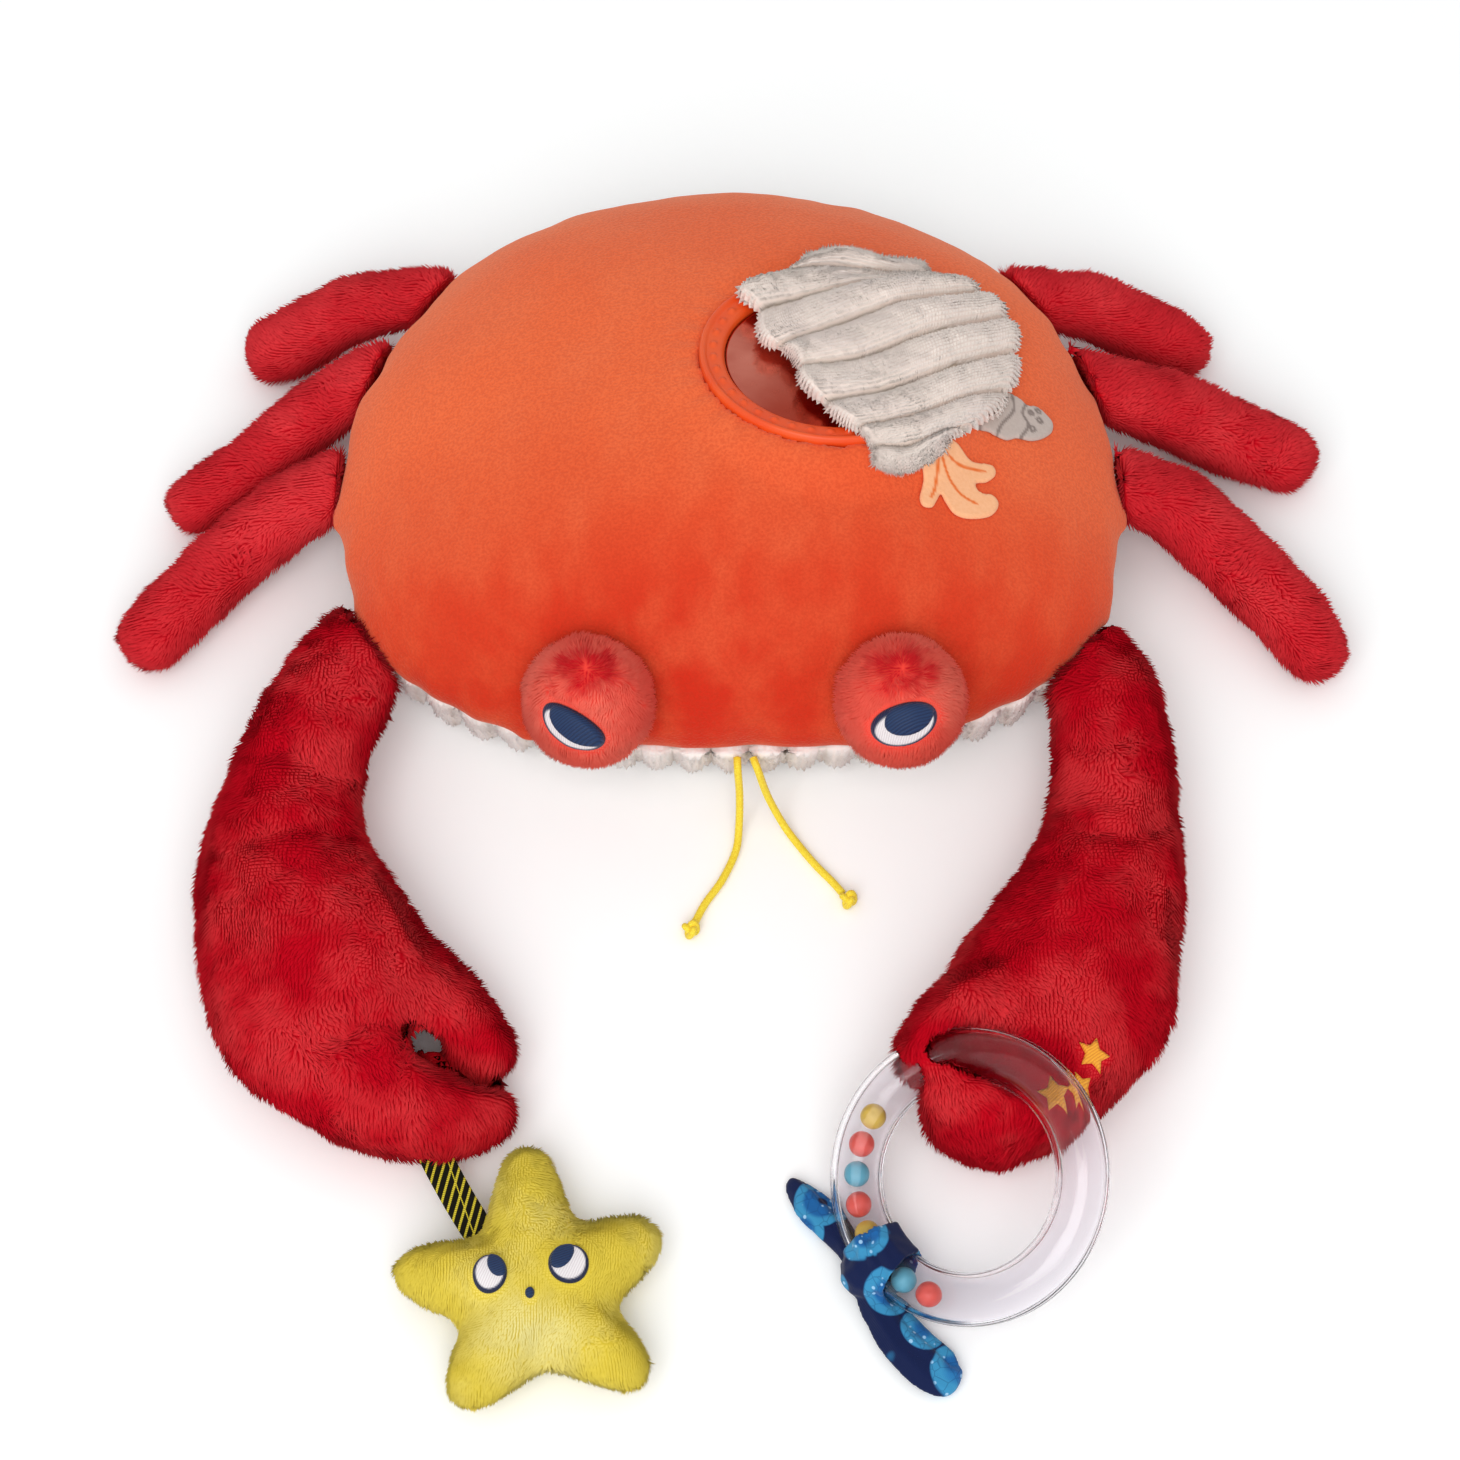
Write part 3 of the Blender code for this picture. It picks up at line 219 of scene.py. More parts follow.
# Limbs: how far the skin lies inside the solid, the slit between the left pincers, and folds in the cloth
CLAW_INSET = 0.0016
LEG_INSET = 0.0014
# Legs: how much of the red plush's lighter accent colour lies on their pile, a painted sheen
LEG_GLOSS = 0.40
SLIT = (
    (-0.0650, -0.2102), (-0.0780, -0.2082), (-0.0868, -0.2042), (-0.0929, -0.2010), (-0.0985, -0.1965),
    (-0.1012, -0.1905),
)
SLIT_HOLE = ((-0.0978, -0.1943), (-0.0915, -0.1988))
SLIT_HOLE_LEVEL = 0.015
SLIT_HOLE_SLANT = (0.08, -0.48)
SLIT_HOLE_RADIUS = 0.0036
SLIT_PILE = 0.60
SLIT_PILE_REACH = (0.0045, 0.0085)
FOLDS = {
    "left_claw": (
        (SLIT, 0.0030, 0.0095),
        (((-0.1480, -0.0930), (-0.1330, -0.0990), (-0.1200, -0.0960)), 0.0050, 0.0024),
        (((-0.1530, -0.1240), (-0.1400, -0.1200), (-0.1230, -0.1230)), 0.0050, 0.0018),
        (((-0.1012, -0.1905), (-0.1120, -0.1860), (-0.1220, -0.1930)), 0.0045, 0.0022),
    ),
    "right_claw": (
        (((0.0560, -0.2095), (0.0680, -0.2080), (0.0800, -0.2050)), 0.0026, 0.0012),
        (((0.1290, -0.0860), (0.1180, -0.0900), (0.1080, -0.0860)), 0.0050, 0.0022),
        (((0.1400, -0.1180), (0.1270, -0.1230), (0.1130, -0.1200)), 0.0050, 0.0016),
    ),
}

# Eyes: the way each one looks out of its ball, its size, turn and iris, in metres
LEFT_EYE = {"gaze": (-0.23, -0.82, 0.52), "size": (0.0110, 0.0061), "turn": math.radians(-21)}
RIGHT_EYE = {"gaze": (0.02, -0.80, 0.60), "size": (0.0107, 0.0070), "turn": math.radians(18)}
LEFT_IRIS = {"size": (0.0104, 0.0050), "shift": (0.0012, 0.0020)}
RIGHT_IRIS = {"size": (0.0082, 0.0054), "shift": (0.0022, 0.0022)}
EYE_LINE = 0.0013
STALK_INSET = 0.0012
STITCH = 0.0008

# Starfish's face: middle of each feature, half width, half height and turn
STAR_FACE = (
    ("starfish_left_eye_white", "white_thread", (-0.0722, -0.2768), (0.0052, 0.0062), 0.0),
    ("starfish_right_eye_white", "white_thread", (-0.0486, -0.2737), (0.0061, 0.0064), 0.0),
    ("starfish_left_pupil", "navy_thread", (-0.0700, -0.2744), (0.0030, 0.0043), 0.35),
    ("starfish_right_pupil", "navy_thread", (-0.0505, -0.2716), (0.0031, 0.0049), -0.55),
    ("starfish_mouth", "navy_thread", (-0.0600, -0.2834), (0.0014, 0.0017), 0.0),
)

# Starfish's arms: the way each one points, and how far its tip is drawn out
STAR_INSET = 0.0006
STAR_MIDDLE = (-0.0605, -0.2785)
STAR_ARMS = (
    ((0.05, 1.0), (0.0006, 0.0060)),
    ((-0.98, 0.20), (-0.0018, 0.0)),
    ((0.95, 0.30), (-0.0006, 0.0008)),
    ((-0.55, -0.83), (-0.0022, 0.0010)),
    ((0.62, -0.78), (0.0036, 0.0012)),
)

# Stars on the right claw: middle, radius and turn
CLAW_STARS = (
    ("claw_star_1", (0.1106, -0.2138), 0.0052, 0.1),
    ("claw_star_2", (0.1066, -0.2235), 0.0042, 0.8),
    (None, (0.0984, -0.2266), 0.0056, 0.5),
)

# Strap and rattle ring
STRAP_WIDTH = 0.0100
STRAP_THICKNESS = 0.0011
STRAP_ROUTE = (
    (-0.0935, -0.2285, 0.0132),
    (-0.0893, -0.2370, 0.0128),
    (-0.0838, -0.2470, 0.0122),
    (-0.0785, -0.2560, 0.0124),
    (-0.0735, -0.2640, 0.0130),
)
RING_RADIUS = 0.0370
TUBE_RADIUS = 0.0082
TUBE_WALL = 0.0015
RING_TILT = math.radians(33.0)
RING_DOWNHILL = math.radians(216.3)
WELD_GAP = 0.00006
RING_STEPS = 168
TUBE_STEPS = 28

# Tie: middle of its knot, and the creases of its two tails
TIE_KNOT = (0.0420, -0.2640, 0.0080)
TIE_CREASES = (
    ((0.0420, -0.2640), (0.0350, -0.2520), (0.0270, -0.2420), (0.0190, -0.2320)),
    ((0.0420, -0.2640), (0.0460, -0.2740), (0.0530, -0.2850), (0.0620, -0.2940), (0.0670, -0.2990)),
)

TIE_FOLDS = 9
TIE_SPIRAL = 160
TIE_BULGE = 0.0010
TIE_FOLD_DEPTH = 0.00045
TIE_CREASE_DEPTH = 0.0009
TIE_RIDGE_HEIGHT = 0.0004

# Beads: a mould seam, a dimple at each end of the hole, and the colours in their order round the ring
BEAD_SEAM = 0.02
BEAD_DIMPLE = 0.10
BEAD_COLOURS = {
    "yellow_bead": (0.72, 0.48, 0.05),
    "coral_bead": (0.82, 0.085, 0.060),
    "blue_bead": (0.10, 0.42, 0.56),
}
BEAD_SLOTS = ("yellow_bead", "coral_bead", "blue_bead", "coral_bead") * 2

# Mouth cords: the same routes as the solids
CORD_DIAMETER = 0.0026
CORD_LOBES = 4
CORD_LOBE_DEPTH = 0.10
CORD_TWIST_LENGTH = 0.0065
CORD_SIDES = 20
CORD_STEP = 0.0005
LEFT_CORD_ROUTE = (
    (0.0023, -0.1014, 0.0280),
    (0.0025, -0.1052, 0.0262),
    (0.0031, -0.1082, 0.0150),
    (0.0029, -0.1140, 0.0045),
    (0.0018, -0.1215, 0.0016),
    (-0.0026, -0.1320, 0.0016),
    (-0.0080, -0.1405, 0.0016),
    (-0.0112, -0.1475, 0.0022),
)
RIGHT_CORD_ROUTE = (
    (0.0074, -0.1014, 0.0280),
    (0.0090, -0.1050, 0.0260),
    (0.0122, -0.1078, 0.0140),
    (0.0172, -0.1125, 0.0040),
    (0.0215, -0.1180, 0.0016),
    (0.0275, -0.1262, 0.0016),
    (0.0330, -0.1325, 0.0016),
    (0.0362, -0.1370, 0.0022),
)
KNOT_STRAND = 0.0009
KNOT_SIDES = 12
KNOT_STEPS = 60


# Camera, floor and light


def build_camera():
    camera = bpy.data.objects.new("camera", bpy.data.cameras.new("camera"))
    camera.data.lens = CAMERA_LENS
    camera.data.sensor_width = CAMERA_SENSOR
    back = Vector((0.0, -math.cos(CAMERA_ELEVATION), math.sin(CAMERA_ELEVATION)))
    camera.location = Vector(CAMERA_TARGET) + back * CAMERA_DISTANCE
    camera.rotation_euler = (math.pi / 2 - CAMERA_ELEVATION, 0.0, 0.0)
    bpy.context.scene.collection.objects.link(camera)
    bpy.context.scene.camera = camera


def build_stage():
    """A pale floor that looks a little paler to the camera, and keeps its shadows."""
    bpy.ops.mesh.primitive_plane_add(size=FLOOR_SIZE, location=(0.0, 0.0, -0.0002))
    floor = bpy.context.object
    floor.name = "floor"
    surface = Surface("floor", colour=(FLOOR_SHADE,) * 3, roughness=0.9, specular=0.0)
    seen = surface.node("ShaderNodeLightPath")
    rays = surface.math("MAXIMUM", seen.outputs["Is Camera Ray"], seen.outputs["Is Glossy Ray"])
    rays = surface.math("MAXIMUM", rays, seen.outputs["Is Transmission Ray"])
    colour = surface.mix(rays, (FLOOR_SHADE,) * 3, tuple(FLOOR_SHADE * tint for tint in FLOOR_TINT))
    surface.link(colour, surface.shader.inputs["Base Color"])
    floor.data.materials.append(surface.material)


def build_light():
    world = bpy.data.worlds.new("studio")
    world.use_nodes = True
    sky = world.node_tree.nodes["Background"]
    sky.inputs["Color"].default_value = (1.0, 1.0, 1.0, 1.0)
    sky.inputs["Strength"].default_value = SKY_STRENGTH
    bpy.context.scene.world = world
    lamp = bpy.data.objects.new("lamp", bpy.data.lights.new("lamp", "AREA"))
    lamp.data.shape = "SQUARE"
    lamp.data.size = LAMP_SIZE
    lamp.data.energy = LAMP_POWER
    lamp.location = LAMP_PLACE
    lamp.rotation_euler = (-Vector(LAMP_PLACE)).to_track_quat("-Z", "Y").to_euler()
    bpy.context.scene.collection.objects.link(lamp)
    bpy.context.scene.view_settings.view_transform = "Standard"


# Materials


class Surface:
    """A node material with one Principled shader, and short ways to add nodes to it."""

    def __init__(self, name, colour, roughness, specular=0.3, sheen=0.0, sheen_tint=(1, 1, 1), **more):
        self.material = bpy.data.materials.new(name)
        self.material.use_nodes = True
        self.tree = self.material.node_tree
        self.shader = self.tree.nodes["Principled BSDF"]
        values = {
            "Base Color": (*colour, 1.0),
            "Roughness": roughness,
            "Specular IOR Level": specular,
            "Sheen Weight": sheen,
            "Sheen Tint": (*sheen_tint, 1.0),
        }
        values.update({key.replace("_", " ").title(): value for key, value in more.items()})
        values = {key.replace("Ior", "IOR"): value for key, value in values.items()}
        for key, value in values.items():
            self.shader.inputs[key].default_value = value
        self.place = None

    def node(self, kind, **inputs):
        made = self.tree.nodes.new(kind)
        for key, value in inputs.items():
            socket = made.inputs[key.replace("_", " ").title()]
            if isinstance(value, bpy.types.NodeSocket):
                self.link(value, socket)
            else:
                socket.default_value = value
        return made

    def link(self, source, target):
        self.tree.links.new(source, target)

    def where(self, stretch=(1.0, 1.0, 1.0), turn=(0.0, 0.0, 0.0)):
        """Object coordinates in metres, which may be turned and then stretched."""
        if self.place is None:
            self.place = self.node("ShaderNodeTexCoord").outputs["Object"]
        turned = self.node("ShaderNodeMapping")
        turned.inputs["Rotation"].default_value = turn
        turned.inputs["Scale"].default_value = stretch
        self.link(self.place, turned.inputs["Vector"])
        return turned.outputs["Vector"]

    def math(self, operation, a, b=0.0):
        made = self.node("ShaderNodeMath")
        made.operation = operation
        for socket, value in zip(made.inputs, (a, b)):
            if isinstance(value, bpy.types.NodeSocket):
                self.link(value, socket)
            else:
                socket.default_value = value
        return made.outputs[0]

    def ramp(self, value, low, high, first=0.0, last=1.0):
        """A smooth step of a value between low and high."""
        made = self.node("ShaderNodeMapRange", value=value)
        made.interpolation_type = "SMOOTHSTEP"
        made.inputs["From Min"].default_value = low
        made.inputs["From Max"].default_value = high
        made.inputs["To Min"].default_value = first
        made.inputs["To Max"].default_value = last
        return made.outputs["Result"]

    def mix(self, share, a, b):
        made = self.tree.nodes.new("ShaderNodeMix")
        made.data_type = "RGBA"
        for socket, value in ((made.inputs[0], share), (made.inputs[6], a), (made.inputs[7], b)):
            if isinstance(value, bpy.types.NodeSocket):
                self.link(value, socket)
            else:
                socket.default_value = (*value, 1.0) if isinstance(value, tuple) else value
        return made.outputs[2]

    def attribute(self, name):
        made = self.node("ShaderNodeAttribute")
        made.attribute_name = name
        return made.outputs["Fac"]

    def noise(self, scale, detail=2.0, vector=None):
        made = self.node("ShaderNodeTexNoise", scale=scale, detail=detail)
        self.link(vector or self.where(), made.inputs["Vector"])
        return made.outputs["Fac"]

    def wave(self, scale, spin, **more):
        """Stripes across X, spun by an angle about Z."""
        made = self.node("ShaderNodeTexWave", scale=scale, **more)
        self.link(self.where(turn=(0.0, 0.0, spin)), made.inputs["Vector"])
        return made.outputs["Fac"]

    def cells(self, scale, randomness=1.0, feature="F1"):
        """Distance from the middle of each cell, or from the edges between the cells."""
        made = self.node("ShaderNodeTexVoronoi", scale=scale, randomness=randomness)
        made.feature = feature
        self.link(self.where(), made.inputs["Vector"])
        return made.outputs["Distance"]

    def axes(self):
        split = self.node("ShaderNodeSeparateXYZ")
        self.link(self.where(), split.inputs["Vector"])
        return split.outputs

    def colour(self, value):
        self.link(value, self.shader.inputs["Base Color"])

    def bump(self, height, depth):
        """Relief of a height from 0 to 1, a depth in metres."""
        made = self.node("ShaderNodeBump", strength=1.0, distance=depth, height=height)
        self.link(made.outputs["Normal"], self.shader.inputs["Normal"])


def plush_material(name, root, tip, worn, accent, sheen_tint):
    """Pile that is painted darker at the root, a painted shade between the tufts, lighter at the tip, and
    brushed in light patches.
    """
    surface = Surface(name, tip, 0.92, specular=0.08, sheen=0.10, sheen_tint=sheen_tint, sheen_roughness=0.5)
    # Painted shade: the pile attribute mixes in the root colour towards the base of each tuft, where the
    # tufts shade each other.
    depth = surface.ramp(surface.attribute("pile"), 0.0, 0.5)
    brushed = surface.ramp(surface.noise(38.0, 3.0), 0.42, 0.66)
    outer = surface.mix(brushed, tip, worn)
    outer = surface.mix(surface.attribute("accent"), outer, accent)
    fine = surface.ramp(surface.noise(900.0, 2.0), 0.3, 0.7)
    outer = surface.mix(surface.math("MULTIPLY", fine, 0.15), outer, root)
    surface.colour(surface.mix(depth, root, outer))
    return surface.material


def velour_material():
    surface = Surface(
        "orange_velour", (0.80, 0.12, 0.03), 0.85, specular=0.15,
        sheen=0.45, sheen_tint=(1.0, 0.62, 0.42), sheen_roughness=0.45,
    )
    grain = surface.noise(1100.0, 3.0)
    nap = surface.noise(60.0, 4.0, surface.where((1.0, 0.5, 1.0)))
    cloud = surface.noise(16.0, 2.0)
    # Painted light and shade: the dome is painted darker towards its front and lower rim, and lighter towards
    # its back, as sheen and shading would make it.
    back = surface.ramp(surface.axes()["Y"], -0.088, 0.006)
    shade = surface.mix(back, (0.64, 0.022, 0.006), (0.92, 0.152, 0.044))
    shade = surface.mix(surface.ramp(nap, 0.35, 0.75, 0.0, 0.35), shade, (0.90, 0.185, 0.066))
    shade = surface.mix(surface.ramp(cloud, 0.4, 0.7, 0.0, 0.25), shade, (0.72, 0.07, 0.02))
    shade = surface.mix(surface.ramp(grain, 0.35, 0.65, 0.30, 0.0), shade, (0.48, 0.030, 0.008))
    surface.colour(shade)
    surface.bump(surface.math("ADD", grain, surface.math("MULTIPLY", nap, 0.8)), 0.00035)
    return surface.material


def ribbed_material(name, deep, pale, shaded):
    surface = Surface(
        name, pale, 0.95, specular=0.1,
        sheen=0.2, sheen_tint=(1.0, 0.95, 0.92), sheen_roughness=0.5,
    )
    # Painted shade: the deep colour darkens the pile towards its root.
    depth = surface.ramp(surface.attribute("pile"), 0.0, 0.6)
    cloud = surface.ramp(surface.noise(70.0, 3.0), 0.35, 0.7)
    outer = surface.mix(cloud, pale, shaded)
    colour = surface.mix(depth, deep, outer)
    # Painted shade: the accent attribute darkens the grooves between the ribs to a grey-brown.
    surface.colour(surface.mix(surface.attribute("accent"), colour, (0.44, 0.32, 0.23)))
    surface.bump(surface.noise(1300.0, 3.0), 0.0002)
    return surface.material


def plastic_material():
    surface = Surface("orange_plastic", (0.86, 0.105, 0.012), 0.42, specular=0.45)
    cloud = surface.noise(45.0, 2.0)
    surface.colour(surface.mix(surface.ramp(cloud, 0.3, 0.7), (0.82, 0.072, 0.008), (0.85, 0.105, 0.014)))
    surface.bump(surface.noise(700.0, 2.0), 0.00003)
    return surface.material


def mirror_material():
    """Soft mirror film: a dull tinted metal with faint wrinkles and scuffs, and a painted reflection that
    lightens it towards its upper left.
    """
    surface = Surface("mirror_film", (0.60, 0.12, 0.08), 0.16, specular=0.5, metallic=1.0)
    cloud = surface.noise(42.0, 3.0, surface.where((1.0, 1.6, 1.0), (0.0, 0.0, 0.7)))
    axes = surface.axes()
    # Painted reflection: cloudy patches of a lighter colour, strongest towards the film's upper left, stand
    # in for a bright light mirrored in it.
    corner = surface.ramp(surface.math("SUBTRACT", axes["Y"], axes["X"]), -0.040, 0.025)
    haze_and_painted_reflection = surface.math("MULTIPLY", surface.ramp(cloud, 0.25, 0.75, 0.25, 1.0), corner)
    surface.colour(surface.mix(haze_and_painted_reflection, (0.44, 0.050, 0.026), (0.80, 0.26, 0.19)))
    scuffs = surface.ramp(surface.noise(260.0, 4.0), 0.3, 0.8, 0.12, 0.32)
    surface.link(scuffs, surface.shader.inputs["Roughness"])
    surface.bump(surface.noise(55.0, 2.0), 0.0006)
    return surface.material


def felt_material(name, colour, dark, line):
    surface = Surface(name, colour, 0.95, specular=0.1, sheen=0.15)
    fibre = surface.noise(900.0, 4.0)
    cloth = surface.mix(surface.ramp(fibre, 0.3, 0.75, 0.0, 0.5), colour, dark)
    surface.colour(surface.mix(surface.attribute("line"), cloth, line))
    surface.bump(fibre, 0.00012)
    return surface.material


def thread_material(name, colour, dark, turn, line=(0.006, 0.014, 0.06)):
    """Satin stitch: threads side by side, with a soft gloss, and a stitched outline."""
    surface = Surface(name, colour, 0.55, specular=0.3, sheen=0.1)
    thread = surface.wave(420.0, turn, distortion=1.5, detail=2.0)
    cloth = surface.mix(surface.ramp(thread, 0.0, 0.6), dark, colour)
    surface.colour(surface.mix(surface.attribute("line"), cloth, line))
    surface.bump(thread, 0.00012)
    return surface.material


def cord_material():
    surface = Surface("yellow_cord", (0.95, 0.72, 0.03), 0.55, specular=0.35, sheen=0.15)
    fibre = surface.noise(2200.0, 2.0)
    surface.colour(surface.mix(surface.ramp(fibre, 0.3, 0.7), (0.88, 0.62, 0.015), (1.0, 0.84, 0.06)))
    surface.bump(fibre, 0.00008)
    return surface.material


def strap_material():
    """Black tape with thin yellow stripes that run across it at a slant."""
    surface = Surface("striped_tape", (0.02, 0.018, 0.012), 0.8, specular=0.1)
    stripe = surface.ramp(surface.wave(128.0, 0.224, distortion=0.4), 0.70, 0.86)
    seam = surface.ramp(surface.wave(31.0, -0.346, phase_offset=2.81), 0.995, 0.9985)
    weave = surface.wave(520.0, 1.2, distortion=0.3)
    line = surface.math("MAXIMUM", stripe, seam)
    yarn = surface.ramp(weave, 0.0, 0.4, 0.35, 1.0)
    line_share = surface.math("MULTIPLY", line, yarn)
    surface.colour(surface.mix(line_share, (0.010, 0.009, 0.005), (0.80, 0.66, 0.05)))
    surface.bump(surface.math("ADD", weave, line), 0.00018)
    return surface.material


def clear_material():
    surface = Surface(
        "clear_plastic", (0.97, 0.95, 0.98), 0.02, specular=0.5,
        transmission_weight=1.0, ior=1.24, coat_weight=0.15, coat_roughness=0.03,
    )
    haze_and_painted_reflection = surface.ramp(surface.noise(35.0, 2.0), 0.3, 0.7, 0.0, 0.04)
    surface.link(haze_and_painted_reflection, surface.shader.inputs["Roughness"])
    surface.colour(surface.mix(surface.noise(12.0), (0.955, 0.93, 0.965), (0.98, 0.97, 0.985)))
    return surface.material


def print_material():
    """Navy cotton with a print of soft discs and small dots."""
    surface = Surface("dotted_cotton", (0.006, 0.018, 0.10), 0.8, specular=0.15, sheen=0.15)
    away = surface.cells(52.0, 0.7)
    disc = surface.ramp(away, 0.42, 0.46, 1.0, 0.0)
    rim = surface.math("MULTIPLY", surface.ramp(away, 0.26, 0.34), disc)
    core = surface.ramp(away, 0.08, 0.11, 1.0, 0.0)
    dot = surface.ramp(surface.cells(330.0, 0.6), 0.16, 0.24, 1.0, 0.0)
    cloth = surface.mix(disc, (0.003, 0.010, 0.060), (0.010, 0.12, 0.36))
    cloth = surface.mix(rim, cloth, (0.04, 0.27, 0.50))
    vein = surface.ramp(surface.cells(260.0, feature="DISTANCE_TO_EDGE"), 0.0, 0.06, 0.4, 0.0)
    cloth = surface.mix(surface.math("MULTIPLY", vein, disc), cloth, (0.003, 0.02, 0.10))
    dot = surface.math("MULTIPLY", dot, surface.math("MULTIPLY", disc, 0.8))
    cloth = surface.mix(dot, cloth, (0.40, 0.66, 0.90))
    cloth = surface.mix(core, cloth, (0.003, 0.008, 0.05))
    surface.colour(cloth)
    surface.bump(surface.wave(620.0, 0.6, distortion=0.4), 0.00006)
    return surface.material


def bead_material(name, colour):
    surface = Surface(name, colour, 0.35, specular=0.5)
    swirl = surface.ramp(surface.noise(150.0, 2.0), 0.3, 0.7, 0.0, 0.3)
    surface.colour(surface.mix(swirl, colour, tuple(min(1.0, c * 1.3 + 0.02) for c in colour)))
    surface.bump(surface.noise(500.0), 0.00003)
    return surface.material


# Mesh tools


def link_object(name, mesh, material):
    obj = bpy.data.objects.new(name, mesh)
    bpy.context.scene.collection.objects.link(obj)
    mesh.materials.clear()
    mesh.materials.append(material)
    mesh.shade_smooth()
    return obj


def finish_piece(obj, slot, *nodes):
    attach(obj, "root")
    if nodes:
        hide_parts(*nodes)
    return obj


def skin(node, voxel, passes, levels, inset=0.0, cutter=None):
    """Points and quads of a smooth skin over a node: cut, remeshed, smoothed, subdivided and drawn in."""
    obj = bpy.data.objects.new(f"{node}_skin", NODES[node].data.copy())
    bpy.context.scene.collection.objects.link(obj)
    if cutter:
        obj.modifiers.new("weld", "WELD")
        cut = obj.modifiers.new("cut", "BOOLEAN")
        cut.object = cutter
    remesh = obj.modifiers.new("remesh", "REMESH")
    remesh.mode = "VOXEL"
    remesh.voxel_size = voxel
    smooth = obj.modifiers.new("smooth", "SMOOTH")
    smooth.factor = 0.5
    smooth.iterations = passes
    fine = obj.modifiers.new("fine", "SUBSURF")
    fine.levels = levels
    fine.render_levels = levels
    evaluated = obj.evaluated_get(bpy.context.evaluated_depsgraph_get())
    mesh = bpy.data.meshes.new_from_object(evaluated)
    bpy.data.objects.remove(obj)
    if cutter:
        bpy.data.objects.remove(cutter)
    points = np.empty(len(mesh.vertices) * 3)
    mesh.vertices.foreach_get("co", points)
    points = points.reshape(-1, 3)
    corners = np.empty(len(mesh.loops), dtype=np.int64)
    mesh.loops.foreach_get("vertex_index", corners)
    quads = corners.reshape(-1, 4)
    bpy.data.meshes.remove(mesh)
    if inset:
        points = points - vertex_normals(points, quads) * inset
    return points, quads


def unit(vectors):
    return vectors / np.maximum(np.linalg.norm(vectors, axis=1, keepdims=True), 1e-12)


def quad_normals(points, quads):
    corners = points[quads]
    return unit(np.cross(corners[:, 2] - corners[:, 0], corners[:, 3] - corners[:, 1]))


def vertex_normals(points, quads):
    normals = quad_normals(points, quads)
    total = np.zeros_like(points)
    for k in range(4):
        np.add.at(total, quads[:, k], normals)
    return unit(total)


def noise_values(points, size, seed=0.0):
    """A smooth noise from -1 to 1 at each point, with features of a size in metres."""
    return np.array([noise.noise(Vector(p) / size + Vector((seed, seed, seed))) for p in points])


def noise_vectors(points, size, seed=0.0):
    return np.array([noise.noise_vector(Vector(p) / size + Vector((seed, seed, seed))) for p in points])


def mesh_of(name, points, faces):
    mesh = bpy.data.meshes.new(name)
    mesh.from_pydata(np.asarray(points).tolist(), [], [list(face) for face in faces])
    mesh.update()
    return mesh


def set_value(mesh, name, values):
    layer = mesh.attributes.new(name, "FLOAT", "POINT")
    layer.data.foreach_set("value", np.asarray(values, dtype=np.float32))


def tree_of(points, faces):
    return BVHTree.FromPolygons(np.asarray(points).tolist(), [list(face) for face in faces])


def join_parts(parts):
    """One list of points and one of faces from several."""
    points = []
    faces = []
    for part_points, part_faces in parts:
        start = len(points)
        points += [tuple(p) for p in part_points]
        faces += [[start + i for i in face] for face in part_faces]
    return points, faces


def surface_of(*objects):
    """Points and faces of some objects' meshes."""
    return join_parts([
        ([v.co for v in obj.data.vertices], [p.vertices for p in obj.data.polygons]) for obj in objects
    ])


def outward(points, faces):
    """The same faces, turned so that a closed surface faces out."""
    points = np.asarray(points)
    faces = np.asarray(faces)
    a, b, c = (points[faces[:, k]] for k in range(3))
    volume = (a * np.cross(b, c)).sum()
    if faces.shape[1] == 4:
        volume += (a * np.cross(c, points[faces[:, 3]])).sum()
    return faces if volume > 0 else faces[:, ::-1]


def smooth_step(values, low, high):
    share = np.clip((values - low) / (high - low), 0.0, 1.0)
    return share * share * (3 - 2 * share)


def near_line(points, line):
    """Distance in plan of each point to a line of (x, y) corners."""
    flat = np.asarray(points)[:, :2]
    best = np.full(len(flat), 1.0)
    for start, end in zip(line, line[1:]):
        start = np.array(start)
        way = np.array(end) - start
        along = np.clip(((flat - start) @ way) / max(way @ way, 1e-12), 0.0, 1.0)
        best = np.minimum(best, np.linalg.norm(flat - start - along[:, None] * way, axis=1))
    return best


def moved(points, matrix):
    """Points under a matrix."""
    turn = np.array(matrix)
    return np.asarray(points) @ turn[:3, :3].T + turn[:3, 3]


def box_middle(*nodes):
    corners = [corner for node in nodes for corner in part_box(node)]
    return Vector([(min(c) + max(c)) / 2 for c in zip(*corners)])


def room(points, tree, near, far):
    """0 where a surface is nearer than near, 1 where it is further than far."""
    if tree is None:
        return np.ones(len(points))
    away = [tree.find_nearest(Vector(p), far)[3] for p in points]
    return smooth_step(np.array([far if a is None else a for a in away]), near, far)


